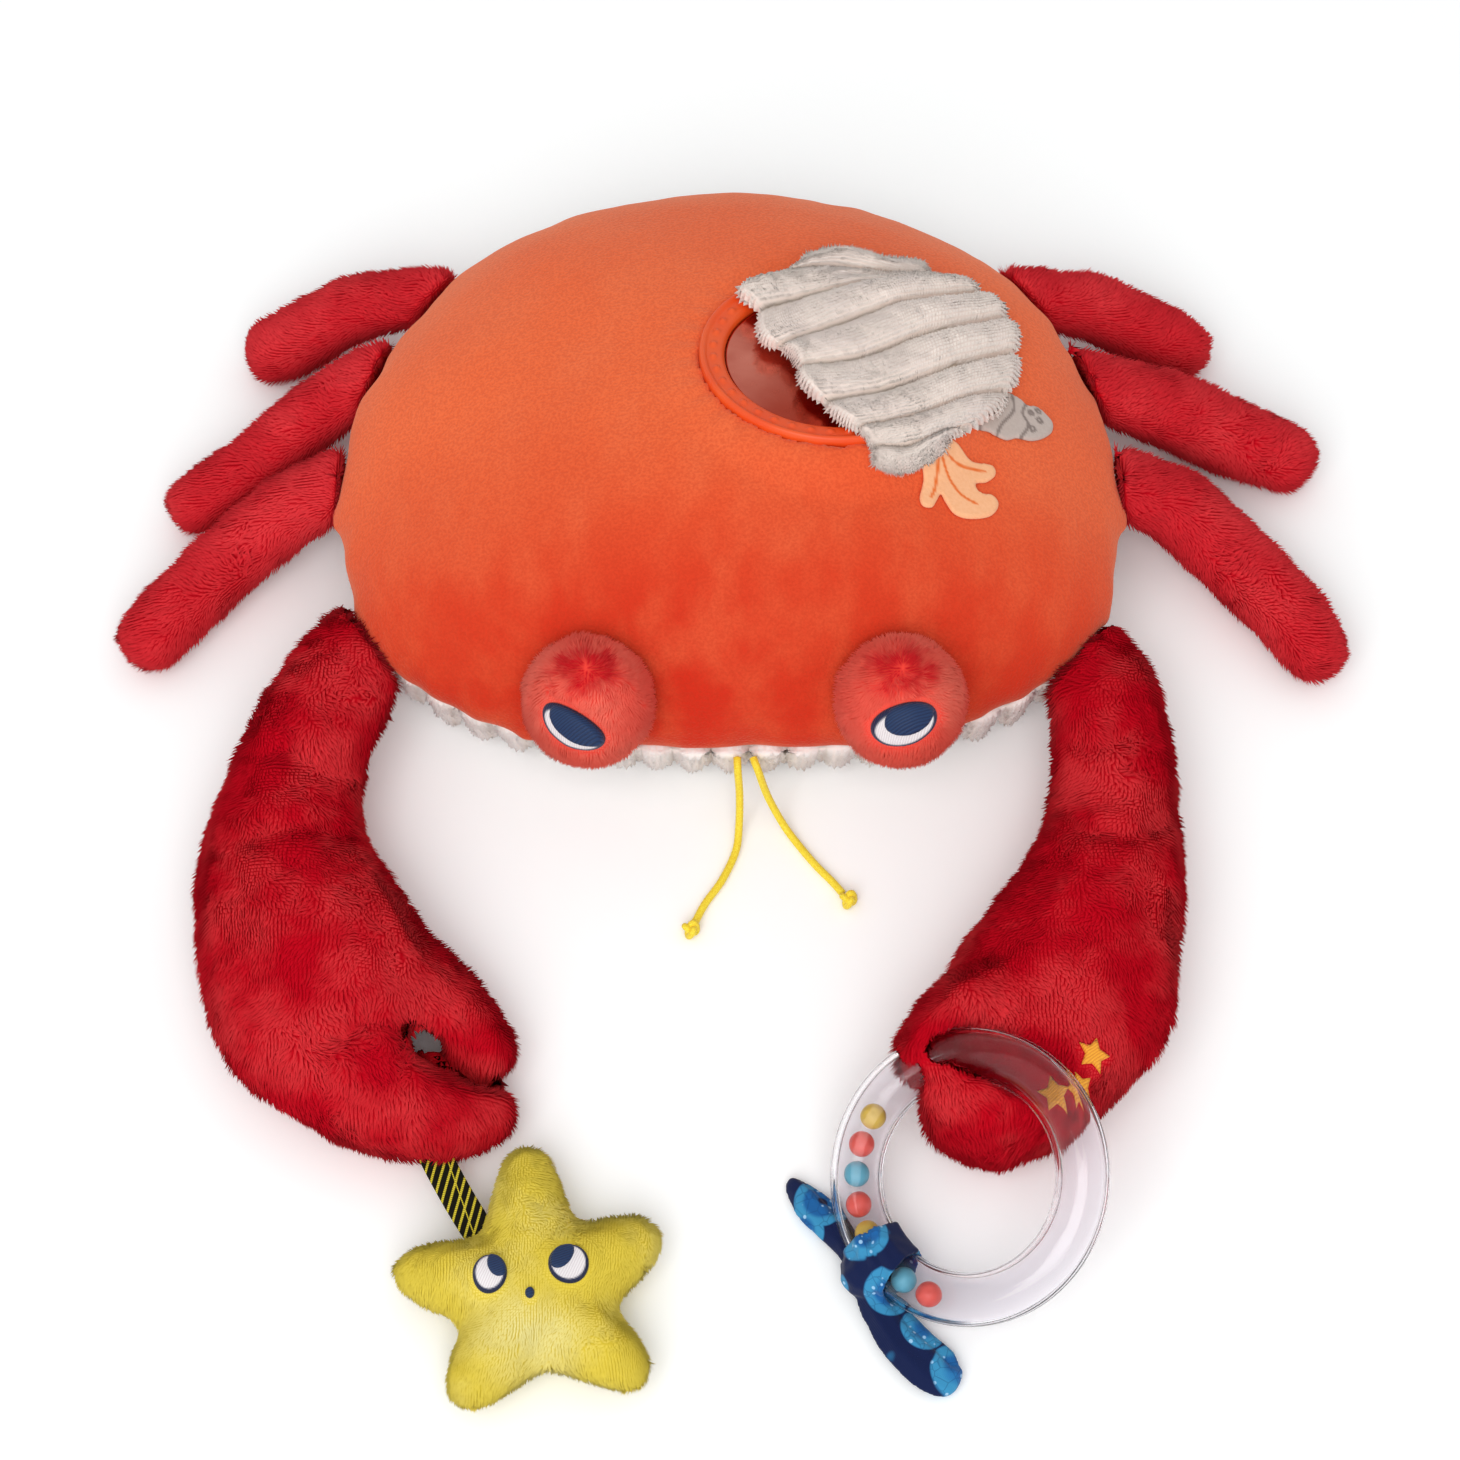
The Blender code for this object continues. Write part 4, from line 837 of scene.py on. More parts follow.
def pile(name, points, quads, material, length, comb, lean, clump, seed, tree=None, near=0.0008, far=0.0030,
         accent=None, trim=None):
    """Every quad of a skin is drawn out into a tuft, which leans the way the pile is combed."""
    random = np.random.RandomState(seed)
    middle = points[quads].mean(axis=1)
    normal = quad_normals(points, quads)
    along = comb(middle)
    along = unit(along - normal * (along * normal).sum(axis=1, keepdims=True))
    stray = noise_vectors(middle, clump, seed) * STRAY_NEAR
    stray = stray + noise_vectors(middle, clump * 4, seed + 7) * STRAY_WIDE
    stray = stray + random.normal(size=middle.shape) * TUFT_STRAY
    along = unit(along + stray - normal * (stray * normal).sum(axis=1, keepdims=True))
    reach = length * (TUFT_LENGTHS[0] + TUFT_LENGTHS[1] * random.random_sample(len(middle)))
    reach = reach * (1.0 + TUFT_WAVES * noise_values(middle, clump * 1.5, seed + 3))
    reach = reach * (SHORTEST_TUFT + (1 - SHORTEST_TUFT) * room(middle, tree, near, far))
    if trim:
        reach = reach * trim(middle, normal)
    tips = middle + reach[:, None] * (along * lean + normal * math.sqrt(1 - lean**2))
    every = np.concatenate([points, tips])
    every[:, 2] = np.maximum(every[:, 2], ABOVE_FLOOR)
    tip_index = len(points) + np.arange(len(quads))
    faces = np.concatenate([
        np.stack([quads[:, k], quads[:, (k + 1) % 4], tip_index], axis=1) for k in range(4)
    ])
    mesh = mesh_of(name, every, faces)
    set_value(mesh, "pile", np.concatenate([np.zeros(len(points)), np.ones(len(tips))]))
    set_value(mesh, "accent", accent(every) if accent else np.zeros(len(every)))
    obj = link_object(name, mesh, material)
    soft = np.concatenate([vertex_normals(points, quads), unit(normal + along * TUFT_SHADING)])
    mesh.normals_split_custom_set_from_vertices(soft.tolist())
    return obj


def toward(direction):
    return lambda points: np.tile(np.array(direction, float), (len(points), 1))


def away_from(centre):
    return lambda points: points - np.array(centre, float)


def catmull(points, position):
    last = len(points) - 1
    index = min(int(position), last - 1)
    t = position - index
    a, b, c, d = (points[max(0, min(last, index + k))] for k in (-1, 0, 1, 2))
    return 0.5 * (2 * b + (c - a) * t + (2 * a - 5 * b + 4 * c - d) * t**2 + (3 * b - a - 3 * c + d) * t**3)


# Flat shapes draped on a skin


def smooth_outline(points, per_span):
    """A closed smooth outline through a few points."""
    count = len(points)
    ring = [Vector(points[(i - 1) % count]) for i in range(count + 3)]
    return np.array([tuple(catmull(ring, 1 + i / per_span)) for i in range(count * per_span)])


def smooth_line(points, per_span=6):
    """An open smooth line through a few points."""
    spots = [Vector(p) for p in points]
    return [tuple(catmull(spots, i / per_span)) for i in range((len(points) - 1) * per_span + 1)]


def oval(centre, half, turn):
    angles = np.arange(OVAL_SIDES) * 2 * math.pi / OVAL_SIDES
    flat = np.stack([half[0] * np.cos(angles), half[1] * np.sin(angles)], axis=1)
    spin = np.array([[math.cos(turn), math.sin(turn)], [-math.sin(turn), math.cos(turn)]])
    return flat @ spin + np.array(centre)


def held_inside(outline, centre, half, turn, share):
    """An outline, with what is outside an oval drawn in to its edge."""
    spin = np.array([[math.cos(turn), -math.sin(turn)], [math.sin(turn), math.cos(turn)]])
    local = ((outline - np.array(centre)) @ spin) / np.array(half)
    size = np.linalg.norm(local, axis=1, keepdims=True)
    local = local * np.minimum(1.0, share / np.maximum(size, 1e-9))
    return (local * np.array(half)) @ spin.T + np.array(centre)


def star_outline(centre, radius, turn):
    corners = []
    for k in range(10):
        angle = math.pi * k / 5 + turn
        reach = radius if k % 2 == 0 else radius * STAR_WAIST
        corners.append(np.array((centre[0] + reach * math.cos(angle), centre[1] + reach * math.sin(angle))))
    edges = zip(corners, corners[1:] + corners[:1])
    return np.array([a + (b - a) * i / POINTS_PER_EDGE for a, b in edges for i in range(POINTS_PER_EDGE)])


def contains(outline, spots):
    """Which spots are inside a closed outline."""
    inside = np.zeros(len(spots), dtype=bool)
    for a, b in zip(outline, np.roll(outline, -1, axis=0)):
        crosses = (a[1] > spots[:, 1]) != (b[1] > spots[:, 1])
        rise = b[1] - a[1] if b[1] != a[1] else 1e-12
        inside ^= crosses & (spots[:, 0] < (b[0] - a[0]) * (spots[:, 1] - a[1]) / rise + a[0])
    return inside


def drape(name, outline, place, tree, material, low, thickness, rim, cell, line=None):
    """A closed flat shape laid on a skin along the place's Z, with a rounded rim."""
    closed = [tuple(p) for p in outline] + [tuple(outline[0])]
    first = outline.min(axis=0)
    last = outline.max(axis=0)
    grid = np.array([
        (x, y) for x in np.arange(first[0] + cell / 2, last[0], cell)
        for y in np.arange(first[1] + cell / 2, last[1], cell)
    ])
    grid = grid[contains(outline, grid) & (near_line(grid, closed) > cell * 0.6)]
    spots = [Vector(p) for p in outline] + [Vector(p) for p in grid]
    edges = [(i, (i + 1) % len(outline)) for i in range(len(outline))]
    flat, _, faces, *_ = geometry.delaunay_2d_cdt(spots, edges, [], 1, 1e-7)
    flat = np.array([tuple(p) for p in flat])
    inward = near_line(flat, closed)
    rounding = np.sqrt(1 - (1 - np.clip(inward / rim, 0.0, 1.0)) ** 2)
    rise = low + thickness * (0.3 + 0.7 * rounding)
    down = place.to_3x3() @ Vector((0.0, 0.0, -1.0))
    seats = [tree.ray_cast(place @ Vector((x, y, 0.2)), down)[0] for x, y in flat]
    known = [hit for hit in seats if hit is not None]
    seats = np.array([tuple(hit or known[0]) for hit in seats])
    up = -np.array(down)
    count = len(flat)
    points = np.concatenate([seats + up * low, seats + up * rise[:, None]])
    sides = {}
    for face in faces:
        for a, b in zip(face, list(face[1:]) + [face[0]]):
            if (b, a) in sides:
                del sides[(b, a)]
            else:
                sides[(a, b)] = True
    all_faces = [[i + count for i in face] for face in faces]
    all_faces += [list(face)[::-1] for face in faces]
    all_faces += [[a, b, b + count] for a, b in sides] + [[a, b + count, a + count] for a, b in sides]
    mesh = mesh_of(name, points, outward(points, all_faces))
    marks = line(flat, inward) if line else np.zeros(count)
    set_value(mesh, "line", np.concatenate([marks, marks]))
    return link_object(name, mesh, material)


def rim_line(width):
    """A stitched outline along a shape's edge."""
    return lambda flat, inward: 1 - smooth_step(inward, width * 0.8, width * 1.2)


def drawn_lines(lines, width):
    smooth = [smooth_line(line) for line in lines]
    return lambda flat, inward: 1 - smooth_step(
        np.min([near_line(flat, line) for line in smooth], axis=0), width * 0.35, width * 0.7,
    )


# Stuffed pieces


def seam_radius(angles):
    """Distance from the middle of the body to its seam outline, in some directions."""
    ahead = np.sin(angles) < 0
    length = np.where(ahead, BODY_FRONT, BODY_BACK)
    power = np.where(ahead, FRONT_SQUARENESS, BACK_SQUARENESS)
    across = np.abs(np.cos(angles)) / (BODY_WIDTH / 2)
    along = np.abs(np.sin(angles)) / length
    return (across**power + along**power) ** (-1 / power)


def round_body(points):
    """Of each point, the way out from the body's middle, its angle, and its share of the seam's radius."""
    flat = points[:, :2] - np.array((0.0, BODY_MIDDLE_Y))
    radius = np.maximum(np.linalg.norm(flat, axis=1), 1e-6)
    angle = np.arctan2(flat[:, 1], flat[:, 0])
    return flat / radius[:, None], angle, radius / seam_radius(angle)


def mirror_place():
    """Matrix of the mirror's seat, whose Z is the mirror's axis."""
    turn = Matrix.Rotation(-MIRROR_TILT, 4, "X") @ Matrix.Rotation(MIRROR_LEAN, 4, "Y")
    axis = turn.to_3x3() @ Vector((0.0, 0.0, 1.0))
    return Matrix.Translation(box_middle("mirror_disc") - axis * (GAP + DISC_HEIGHT) / 2) @ turn


def build_body(velour, mirror):
    """The dome bulges over the belly at its rim, and is gathered up to the mirror's frame."""
    points, quads = skin("body_top", BODY_VOXEL, 2, 2)
    way, _, share = round_body(points)
    low = 1 - smooth_step(points[:, 2], SEAM_HEIGHT + RIM_FADE[0], SEAM_HEIGHT + RIM_FADE[1])
    rim = smooth_step(share, *RIM_SHARE) * low
    pucker = noise_values(points, 0.012, 4.0) * 0.0010 + noise_values(points, 0.030, 8.0) * 0.0016
    points[:, :2] += way * (rim * (RIM_BULGE + pucker))[:, None]
    points[:, 2] -= rim * RIM_DROOP
    points = points + vertex_normals(points, quads) * (noise_values(points, 0.045)[:, None] * 0.0013)
    local = moved(points, mirror.inverted())
    away = np.hypot(local[:, 0], local[:, 1])
    top = local[:, 2] > GATHER_FLOOR
    inside = away < FRAME_RADIUS - SEAT_EDGE
    gather = 1 - smooth_step(away, FRAME_RADIUS + GATHER_START, FRAME_RADIUS + GATHER_END)
    folds = np.sin(np.arctan2(local[:, 1], local[:, 0]) * GATHER_FOLDS) * GATHER_FOLD_DEPTH
    local[:, 2] += (GATHER_HEIGHT + folds - local[:, 2]) * (gather * ~inside * top)
    local[:, 2] = np.where(inside & top, np.minimum(local[:, 2], -0.0002), local[:, 2])
    points = moved(local, mirror)
    cloth = link_object("body_cloth", mesh_of("body_cloth", points, quads), velour)
    finish_piece(cloth, "velour", "body_top")
    return cloth, tree_of(points, quads)


def build_belly(cream):
    """Chenille ribs that are drawn in under the dome's rim."""
    points, quads = skin("belly", BELLY_VOXEL, 2, 0)
    groove = (1 - np.abs(np.cos(math.pi * points[:, 0] / RIB_PITCH))) ** 1.5
    points = points - vertex_normals(points, quads) * (groove * BELLY_GROOVE)[:, None]
    way, angle, share = round_body(points)
    tuck = BELLY_TUCK * (1 - smooth_step(points[:, 2], 0.0, SEAM_HEIGHT))
    tuck = tuck + BELLY_SIDE_TUCK * np.cos(angle) ** 2
    points[:, :2] -= way * (tuck * np.minimum(share, 1.0))[:, None]
    # Painted shade: the accent darkens the grooves between the ribs.
    cloth = pile(
        "belly_chenille", points, quads, cream, BELLY_PILE, toward((0.0, -0.6, -0.8)),
        lean=0.5, clump=0.004, seed=BELLY_SEED,
        accent=lambda every: (1 - np.abs(np.cos(math.pi * every[:, 0] / RIB_PITCH))) ** 3 * 0.5,
    )
    finish_piece(cloth, "ribbed_cloth", "belly")


def along_slit(points):
    """Plan places at the slit's level, carried there along the slant of the slit's walls."""
    level = points[:, 2] - SLIT_HOLE_LEVEL
    slant = np.abs(np.array(SLIT_HOLE_SLANT) / np.array((SLIT_HOLE[0][0], 1.0)))
    return np.stack([points[:, 0] * (1 + slant[0] * level), points[:, 1] + slant[1] * level], axis=1)


def slit_cutter():
    """A slanted block through the left claw, at the inner end of the slit between its pincers."""
    start, end = (np.array(p) for p in SLIT_HOLE)
    way = (end - start) / np.linalg.norm(end - start)
    across = np.array((-way[1], way[0]))
    sides = ((start, -way), (start, across), (end, across), (end, way), (end, -across), (start, -across))
    ring = [place + direction * SLIT_HOLE_RADIUS for place, direction in sides]
    points = []
    for level in (-0.01, 0.06):
        shift = np.array(SLIT_HOLE_SLANT) * (level - SLIT_HOLE_LEVEL)
        points += [(*(p + shift), level) for p in ring]
    count = len(ring)
    faces = [list(range(count))[::-1], list(range(count, 2 * count))]
    faces += [[k, (k + 1) % count, (k + 1) % count + count, k + count] for k in range(count)]
    mesh = mesh_of("slit_cutter", points, faces)
    bm = bmesh.new()
    bm.from_mesh(mesh)
    bmesh.ops.recalc_face_normals(bm, faces=bm.faces)
    bm.to_mesh(mesh)
    bm.free()
    cutter = bpy.data.objects.new("slit_cutter", mesh)
    bpy.context.scene.collection.objects.link(cutter)
    return cutter


def clear_of_slit(middle, normal):
    """The pile is shorter round the slit's hole, so that the hole stays open."""
    away = near_line(along_slit(middle), SLIT_HOLE)
    return SLIT_PILE + (1 - SLIT_PILE) * smooth_step(away, *SLIT_PILE_REACH)


def folded(points, quads, folds):
    """Folds and furrows: lines in plan, each with a width and a depth, pressed into the cloth."""
    normal = vertex_normals(points, quads)
    for line, width, depth in folds:
        press = depth * np.exp(-((near_line(along_slit(points), smooth_line(line)) / width) ** 2))
        points = points - np.array((0.0, 0.0, 1.0)) * (press * np.clip(normal[:, 2] * 2, -0.5, 1.0))[:, None]
    return points


def build_limbs(red, thread):
    claw_skins = {}
    for side in ("left", "right"):
        name = f"{side}_claw"
        cutter = slit_cutter() if side == "left" else None
        points, quads = skin(name, CLAW_VOXEL, CLAW_PASSES, 1, CLAW_INSET, cutter)
        points = points + vertex_normals(points, quads) * (noise_values(points, 0.022, 3.0)[:, None] * 0.0013)
        points = folded(points, quads, FOLDS[name])
        claw_skins[side] = (points, quads)
    stars = build_claw_stars(tree_of(*claw_skins["right"]), thread)
    ring = surface_of(NODES["rattle_ring_upper_half"], NODES["rattle_ring_lower_half"])
    near_right = tree_of(*join_parts([ring, surface_of(*stars)]))
    for side, (points, quads) in claw_skins.items():
        name = f"{side}_claw"
        tree = near_right if side == "right" else None
        comb = toward((0.1 if side == "left" else -0.1, -1.0, 0.1))
        plush = pile(
            f"{name}_plush", points, quads, red, CLAW_PILE, comb,
            lean=PLUSH_LEAN, clump=0.006, seed=CLAW_SEED, tree=tree,
            trim=clear_of_slit if side == "left" else None,
        )
        finish_piece(plush, "red_plush", name)
        for place in ("front", "middle", "back"):
            name = f"{side}_{place}_leg"
            points, quads = skin(name, LEG_VOXEL, LEG_PASSES, 1, LEG_INSET)
            plush = pile(
                f"{name}_plush", points, quads, red, LEG_PILE, away_from((0.0, 0.0, 0.03)),
                lean=PLUSH_LEAN, clump=0.006, seed=LEG_SEED,
                # Painted sheen: the legs are painted in part with the lighter accent red.
                accent=lambda every: np.full(len(every), LEG_GLOSS),
            )
            finish_piece(plush, "red_plush", name)


def build_claw_stars(tree, thread):
    stars = []
    for i, (node, middle, radius, turn) in enumerate(CLAW_STARS):
        outline = star_outline(middle, radius, turn)
        name = f"claw_star_stitch_{i + 1}"
        star = drape(
            name, outline, Matrix(), tree, thread, low=0.0004, thickness=0.0012, rim=0.0008, cell=0.0006,
        )
        finish_piece(star, "yellow_thread", *([node] if node else []))
        stars.append(star)
    return stars


def eye_axes(gaze):
    """Matrix whose Z leaves the ball in the direction of the eye, with Y as near upright as can be."""
    z = Vector(gaze).normalized()
    x = Vector((0.0, 0.0, 1.0)).cross(z).normalized()
    return Matrix((x, z.cross(x), z)).transposed().to_4x4()


def build_stalks(coral, white, navy):
    for side, eye, iris in (("left", LEFT_EYE, LEFT_IRIS), ("right", RIGHT_EYE, RIGHT_IRIS)):
        name = f"{side}_eye_stalk"
        points, quads = skin(name, STALK_VOXEL, 2, 2, STALK_INSET)
        low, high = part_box(name)
        radius = (high.x - low.x) / 2
        centre = Vector(((low.x + high.x) / 2, low.y + radius, high.z - radius))
        place = Matrix.Translation(centre) @ eye_axes(eye["gaze"])
        tree = tree_of(points, quads)
        turn = eye["turn"]
        lift = STALK_INSET + GAP
        outline = oval((0.0, 0.0), eye["size"], turn)
        eye_white = drape(
            f"{side}_eye_stitch", outline, place, tree, white, low=lift - 0.0008, thickness=STITCH + 0.0012,
            rim=0.0016, cell=0.0004, line=rim_line(EYE_LINE),
        )
        finish_piece(eye_white, "white_thread", f"{side}_eye_white")
        shift = Matrix.Rotation(turn, 2) @ Vector(iris["shift"])
        outline = held_inside(oval(shift, iris["size"], turn), (0.0, 0.0), eye["size"], turn, 0.99)
        disc = drape(
            f"{side}_iris_stitch", outline, place, tree, navy, low=lift, thickness=STITCH + 0.0011,
            rim=0.0012, cell=0.0004,
        )
        finish_piece(disc, "navy_thread", f"{side}_iris")
        crown = centre + Vector((0.0, 0.0, radius))
        near = tree_of(*surface_of(eye_white))
        plush = pile(
            f"{name}_plush", points, quads, coral, STALK_PILE, away_from(crown),
            lean=STALK_LEAN, clump=0.005, seed=STALK_SEED, tree=near, near=0.0014, accent=crown_accent(crown),
        )
        finish_piece(plush, "coral_plush", name)


def crown_accent(crown):
    """Deep colour where the pile parts at the top of a ball."""
    def accent(every):
        away = (every - np.array(crown)) / np.array((0.0135, 0.0115, 0.0105))
        blotch = noise_values(every, 0.004, 9.0) * 0.6 + noise_values(every, 0.0015, 4.0) * 0.3
        return np.clip(1.6 * (1.1 - np.linalg.norm(away, axis=1) + blotch), 0.0, 1.0)
    return accent


def build_star(yellow, white, navy):
    points, quads = skin("starfish", STAR_VOXEL, STAR_PASSES, 1, STAR_INSET)
    for way, shift in STAR_ARMS:
        weight = smooth_step((points[:, :2] - np.array(STAR_MIDDLE)) @ np.array(way), 0.016, 0.040)
        points[:, :2] += weight[:, None] * np.array(shift)
    tree = tree_of(points, quads)
    patches = []
    for name, slot, middle, half, turn in STAR_FACE:
        outline = oval(middle, half, turn)
        if name.endswith("pupil"):
            eye = next(row for row in STAR_FACE if row[0] == name.replace("pupil", "eye_white"))
            outline = held_inside(outline, eye[2], eye[3], eye[4], 0.97)
        on_top = STITCH if name.endswith("pupil") else 0.0
        is_white = slot == "white_thread"
        patch = drape(
            f"{name}_stitch", outline, Matrix(), tree, white if is_white else navy, low=0.0004 + on_top,
            thickness=0.0014, rim=0.0010, cell=0.0004, line=rim_line(0.0010) if is_white else None,
        )
        finish_piece(patch, slot, name)
        patches.append(patch)
    near = tree_of(*surface_of(*patches))
    plush = pile(
        "starfish_plush", points, quads, yellow, STAR_PILE, toward((0.05, -1.0, 0.0)),
        lean=PLUSH_LEAN, clump=0.006, seed=STAR_SEED, tree=near, far=0.0020, accent=star_accent,
    )
    finish_piece(plush, "yellow_plush", "starfish")


def star_accent(every):
    """The star's lower middle is paler."""
    away = (every[:, :2] - np.array((-0.0595, -0.2965))) / np.array((0.022, 0.014))
    return np.clip(1.1 - np.linalg.norm(away, axis=1) + noise_values(every, 0.009, 2.0) * 0.3, 0.0, 1.0)


# Mirror, felt and flap


def lathe(profile, steps, place):
    """Points and quads of a closed outline of (radius, height) points, turned once round a place's Z."""
    profile = np.array(profile)
    angles = np.arange(steps) * 2 * math.pi / steps
    radius, height = profile[:, 0], profile[:, 1]
    points = np.stack([
        np.outer(np.cos(angles), radius), np.outer(np.sin(angles), radius), np.tile(height, (steps, 1)),
    ], axis=2).reshape(-1, 3)
    count = len(profile)
    quads = []
    for i in range(steps):
        for k in range(count):
            n = (k + 1) % count
            j = (i + 1) % steps
            quads.append((i * count + k, i * count + n, j * count + n, j * count + k))
    points = moved(points, place)
    return points, outward(points, quads)


def build_mirror(mirror, plastic, film):
    profile = [FRAME_PROFILE[0]] + smooth_line(FRAME_PROFILE[1:-1], 4) + [FRAME_PROFILE[-1]]
    points, quads = lathe(profile, FRAME_DOTS * 8, Matrix())
    angle = np.arctan2(points[:, 1], points[:, 0])
    pitch = 2 * math.pi / FRAME_DOTS
    along = ((angle % pitch) - pitch / 2) * DOT_RING
    away = np.hypot(along, np.hypot(points[:, 0], points[:, 1]) - DOT_RING) / DOT_RADIUS
    raised = points[:, 2] > DOT_HEIGHT * 3
    points[:, 2] += np.where(raised, DOT_HEIGHT * np.sqrt(np.clip(1 - away**2, 0.0, 1.0)), 0.0)
    frame_mesh = mesh_of("mirror_surround", moved(points, mirror), quads)
    frame_piece = link_object("mirror_surround", frame_mesh, plastic)
    finish_piece(frame_piece, "soft_plastic", "mirror_frame")
    rings = [(DISC_RADIUS * k / 40, DISC_HEIGHT) for k in range(40, 0, -1)]
    profile = [(0.00002, GAP), (DISC_RADIUS, GAP), (DISC_RADIUS, 0.0018)] + rings + [(0.00002, DISC_HEIGHT)]
    points, quads = lathe(profile, 96, Matrix())
    wave = noise_values(points, 0.014, 6.0) * 0.00025
    points[:, 2] += np.where(points[:, 2] > 0.0019, wave, 0.0)
    disc_mesh = mesh_of("mirror_sheet", moved(points, mirror), quads)
    finish_piece(link_object("mirror_sheet", disc_mesh, film), "mirror_film", "mirror_disc")
    return frame_piece


def build_felt(tree, peach, grey):
    patches = []
    for name, points, lines, root, slot, felt in (
        ("coral_patch", CORAL_OUTLINE, CORAL_LINES, CORAL_ROOT, "peach_felt", peach),
        ("shell_patch", SHELL_OUTLINE, SHELL_LINES, SHELL_ROOT, "grey_felt", grey),
    ):
        outline = smooth_outline(points, 6)
        place = Matrix.Translation((root[0], root[1], 0.0))
        patch = drape(
            f"{name}_felt", outline, place, tree, felt, low=0.0004, thickness=0.0013, rim=0.0006, cell=0.0006,
            line=drawn_lines(lines, 0.0009),
        )
        finish_piece(patch, slot, name)
        patches.append(patch)
    return patches


def rib_roll(rib):
    """Height share of a rounded rib, from 0 in the groove to 1 on the crest."""
    off = abs(rib - round(rib)) * 2
    return (1 - min(off, 1.0) ** ROLL_SQUARENESS) ** ROLL_STEEPNESS


def flap_places():
    """Plan places of the flap's grid, rows across the ribs, and the roll of each row."""
    ribs = len(FLAP_CRESTS)
    rows = ribs * FLAP_ROWS_PER_RIB
    places = np.zeros((rows + 1, FLAP_COLUMNS + 1, 2))
    rolls = np.zeros(rows + 1)
    for r in range(rows + 1):
        rib = r / FLAP_ROWS_PER_RIB - 0.5
        rolls[r] = rib_roll(rib)
        station = max(0.0, min(rib, ribs - 1.0))
        spots = [catmull([Vector(crest[k]) for crest in FLAP_CRESTS], station) for k in range(4)]
        spots[0] += Vector(HORN_REACH) * math.exp(-(((rib - HORN_RIB) / 0.33) ** 2))
        beyond = Vector(FLAP_BACK_EDGE) * max(0.0, -rib * 2)
        beyond += Vector(FLAP_FRONT_EDGE) * max(0.0, (rib - station) * 2)
        tuck = FLAP_TUCK * (1 - rolls[r])
        for c in range(FLAP_COLUMNS + 1):
            share = tuck + c / FLAP_COLUMNS * (1 - 2 * tuck)
            places[r, c] = catmull(spots, share * 3) + beyond
    return places, rolls


def build_flap(cream, mirror, *under_it):
    """The ribbed cloth lies on the mirror's frame and on the dome beside it."""
    places, rolls = flap_places()
    rows, columns = places.shape[:2]
    tree = tree_of(*surface_of(*under_it))
    seat = np.zeros((rows, columns))
    axis = mirror.to_3x3() @ Vector((0.0, 0.0, 1.0))
    top = mirror @ Vector((0.0, 0.0, FRAME_TOP))
    for r, c in np.ndindex(rows, columns):
        x, y = places[r, c]
        hit = tree.ray_cast(Vector((x, y, 0.2)), Vector((0.0, 0.0, -1.0)))[0]
        seat[r, c] = hit.z if hit else np.nan
        if (Vector((x, y)) - top.to_2d()).length < FRAME_RADIUS * 0.97:
            seat[r, c] = max(seat[r, c], top.z - (axis.x * (x - top.x) + axis.y * (y - top.y)) / axis.z)
    rolls = rolls[:, None] * np.ones((1, columns))
    reach = FLAP_ROWS_PER_RIB // 2
    after = places[np.minimum(np.arange(rows) + reach, rows - 1)]
    before = places[np.maximum(np.arange(rows) - reach, 0)]
    full = np.clip(np.linalg.norm(after - before, axis=2) / FLAP_FULL_PITCH, 0.4, 1.0)
    length = np.linalg.norm(places[:, -1] - places[:, 0], axis=1)[:, None]
    share = np.arange(columns) / (columns - 1)
    ends = np.minimum(share, 1 - share)[None, :] * length
    close = spread_values(seat, FLAP_CLOSE_PASSES)
    spread = close + (spread_values(seat, FLAP_WIDE_PASSES) - close) * np.clip(ends / FLAP_REST, 0.0, 1.0)
    base = np.maximum(spread, seat)
    edge = np.sqrt(1 - (1 - np.clip(ends / FLAP_ROUNDING, 0.0, 1.0)) ** 2)
    last = np.minimum(np.arange(rows), np.arange(rows)[::-1])[:, None] / (FLAP_ROWS_PER_RIB * 0.35)
    edge = np.minimum(edge, np.sqrt(1 - (1 - np.clip(last, 0.0, 1.0)) ** 2))
    height = (FLAP_GROOVE + (FLAP_CREST - FLAP_GROOVE) * rolls * full) * (0.25 + 0.75 * edge)
    over = np.dstack([places, np.maximum(spread + height, base + 0.0008)]).reshape(-1, 3)
    waves = noise_values(over, 0.010, 1.5) * 0.0006 + noise_values(over, 0.0035, 5.0) * 0.0005
    over[:, 2] += waves * edge.ravel()
    under = np.dstack([places, base + 0.0002]).reshape(-1, 3)
    points = np.concatenate([under, over])
    count = len(under)
    index = np.arange(count).reshape(rows, columns)
    square = np.stack([index[:-1, :-1], index[:-1, 1:], index[1:, 1:], index[1:, :-1]], axis=2).reshape(-1, 4)
    border = np.concatenate([index[0, :], index[1:, -1], index[-1, -2::-1], index[-2:0:-1, 0]])
    following = np.roll(border, -1)
    walls = np.stack([border, following, following + count, border + count], axis=1)
    quads = outward(points, np.concatenate([square[:, ::-1], square + count, walls]))
    frayed = np.concatenate([np.zeros(count), 1 - edge.ravel()])[quads].mean(axis=1)
    # Painted shade: the accent darkens the grooves between the ribs, less so towards the frayed ends.
    deep = (1 - rolls.ravel()) ** 2.5 * np.clip(edge.ravel() * 1.3 - 0.3, 0.0, 1.0)
    groove = np.concatenate([np.zeros(count), deep * 0.9])
    cloth = pile(
        "flap_chenille", points, quads, cream, FLAP_PILE, toward((0.26, -0.96, 0.0)),
        lean=0.45, clump=0.003, seed=FLAP_SEED,
        accent=lambda every: np.concatenate([groove, groove[quads].mean(axis=1)]),
        trim=lambda middle, normal: np.where(normal[:, 2] < -0.3, 0.1, 1.0 + 1.6 * frayed),
    )
    finish_piece(cloth, "ribbed_cloth", "flap")


